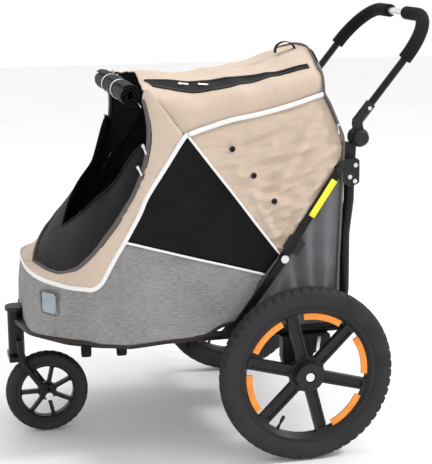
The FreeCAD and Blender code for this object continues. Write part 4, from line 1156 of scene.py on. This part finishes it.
def rail_label():
    """A plain yellow sticker wrapped on each upper rail."""
    parts = []
    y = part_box("left_upper_rail")[0][1] - 0.0006
    half_width, proud = 7.4 * MM, 0.0006
    a, b = place(571, 0, 543), place(624, 0, 623)
    run = (b - a).normalized()
    side = Vector((-run.z, 0, run.x))
    for sign in (1, -1):
        rows = []
        for i in range(10):
            p = a.lerp(b, i / 9)
            row = []
            for k in range(7):
                w = -1 + 2 * k / 6
                bow = proud * (1 - w * w)
                row.append(Vector((p.x, 0, p.z)) + side * (w * half_width) + Vector((0, (y - bow) * sign, 0)))
            rows.append(row)
        verts, faces = grid_mesh(rows)
        parts.append((verts, face_out(verts, faces, CABIN_MIDDLE)))
    label = mesh_object("rail_labels", parts, YELLOW)
    thicken(label, 0.0005, offset=1.0)
    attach(label, "upper_rails")


# ---------------- wheels
def tyre(name, node, body, depth, seat, tread, blocks):
    """A tyre down to the rim's seat, with tread blocks and a soft crown. Sizes in millimetres."""
    low, high = (Vector(v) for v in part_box(node))
    centre, outer, half = (low + high) / 2, (high.z - low.z) / 2 / MM, (high.y - low.y) / 2 / MM
    crown = half * 0.21
    side = [(-seat / 2 / half, -depth), (-0.87, -depth * 0.9), (-0.96, -depth * 0.72), (-1.0, -depth * 0.55),
            (-1.0, -depth * 0.42), (-0.97, -depth * 0.30), (-0.92, -crown * 1.3)]
    across = [-0.86 + 1.72 * k / 22 for k in range(23)]
    profile = side + [(a, -crown * abs(a / 0.86) ** 2.4) for a in across] + [(-a, h) for a, h in reversed(side)]
    count = blocks * 8
    rows = []
    for i in range(count):
        angle = 2 * math.pi * i / count
        row = []
        for k, (w, h) in enumerate(profile):
            r = outer + h
            if abs(w) < 0.94 and h > -crown * 1.4:
                r -= tread * groove(i / 8.0, w)
            row.append(centre + Vector((math.cos(angle) * r * MM, w * half * MM, math.sin(angle) * r * MM)))
        rows.append(row)
    rows.append(rows[0])
    verts, faces = grid_mesh(rows)
    width = len(profile)
    faces += [(i * width + width - 1, i * width, (i + 1) * width, (i + 1) * width + width - 1)
              for i in range(count)]
    piece = mesh_object(name, [(verts, faces)], TYRE, weld=0.00005)
    fix_normals(piece)
    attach(piece, body)
    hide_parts(node)


def groove(turn, w):
    """How deep the tread is cut at a place: 0 on a block, 1 in a groove."""
    if abs(w) < 0.045 or 0.40 < abs(w) < 0.48:
        return 1.0
    lean = 0.9 * abs(w) if abs(w) < 0.45 else 0.4 - 0.3 * abs(w)
    phase = (turn + lean + (0.5 if w > 0 else 0.0)) % 1.0
    return 1.0 if phase < 0.34 else 0.0


def fix_normals(obj):
    """Turns all faces of a closed piece outwards."""
    bm = bmesh.new()
    bm.from_mesh(obj.data)
    bmesh.ops.recalc_face_normals(bm, faces=bm.faces)
    bm.to_mesh(obj.data)
    bm.free()


def wheel_trim():
    """The valve of each rear wheel."""
    profile = [(3.6, -2), (3.6, 6), (2.8, 7), (2.8, 17), (4.0, 17.5), (4.0, 29), (3.0, 31)]
    for side_name, side in SIDES:
        hub = place(REAR_X, side * abs(REAR_Y), REAR_R)
        angle = math.radians(-118)
        spoke = Vector((math.cos(angle), 0, math.sin(angle)))
        base = hub + spoke * 0.140
        stem = turned_part(base, -spoke, profile, 20)
        valve = mesh_object(f"{side_name}_valve", [stem], BLACK_PLASTIC, weld=0)
        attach(valve, f"{side_name}_wheel")


# ---------------- CAD nodes that stay
FINISH = {
    "black_tube": BLACK_TUBE, "black_plastic": BLACK_PLASTIC, "steel": STEEL, "aluminium": BRIGHT, "tyre": TYRE,
    "rim": RIM, "orange": ORANGE, "foam": FOAM, "beige_fabric": BEIGE, "grey_fabric": GREY,
    "dark_fabric": DARK_GREY, "mesh": NET, "white_piping": WHITE, "brown_piping": BROWN,
    "zip": ZIP, "reflector": REFLECTOR,
    "yellow_label": YELLOW, "webbing": WEBBING, "board": BOARD, "cushion": CUSHION}
EDGE = {"black_tube": 0.0006, "black_plastic": 0.0014, "steel": 0.0005, "aluminium": 0.0005, "rim": 0.0022,
        "orange": 0.0012, "foam": 0.004, "board": 0.001}


def finish_nodes():
    """Gives every CAD node the finish of its slot and softens the edges of the slots listed in EDGE."""
    slots = {part["node"]: part["material_slot"] for part in frame["record"]["subparts"]}
    for name, obj in frame["nodes"].items():
        slot = slots.get(name)
        if slot not in FINISH:
            raise ValueError(f"{name} has no finish for {slot}")
        obj.data.materials.clear()
        obj.data.materials.append(FINISH[slot])
        if slot in EDGE:
            bevel = obj.modifiers.new("edges", "BEVEL")
            bevel.width, bevel.segments = EDGE[slot], 2
            bevel.limit_method, bevel.angle_limit = "ANGLE", math.radians(32)
        for poly in obj.data.polygons:
            poly.use_smooth = True


set_camera()
set_studio()
finish_nodes()
grey_base()
side_front()
side_window()
side_panel()
roof_sheet, roof_rows = roof()
rear_wall = rear_panel()
gussets()
front_net()
rolled_flap()
cushion()
piping()
zips(roof_rows, rear_wall)
shoulder_slit(roof_sheet)
small_trim()
rail_label()
for side_name, _ in SIDES:
    tyre(f"{side_name}_tyre_tread", f"{side_name}_rear_tyre", f"{side_name}_wheel",
         depth=41.7, seat=34, tread=3.4, blocks=56)
tyre("front_tyre_tread", "front_tyre", "front_wheel", depth=25, seat=28, tread=2.0, blocks=36)
wheel_trim()
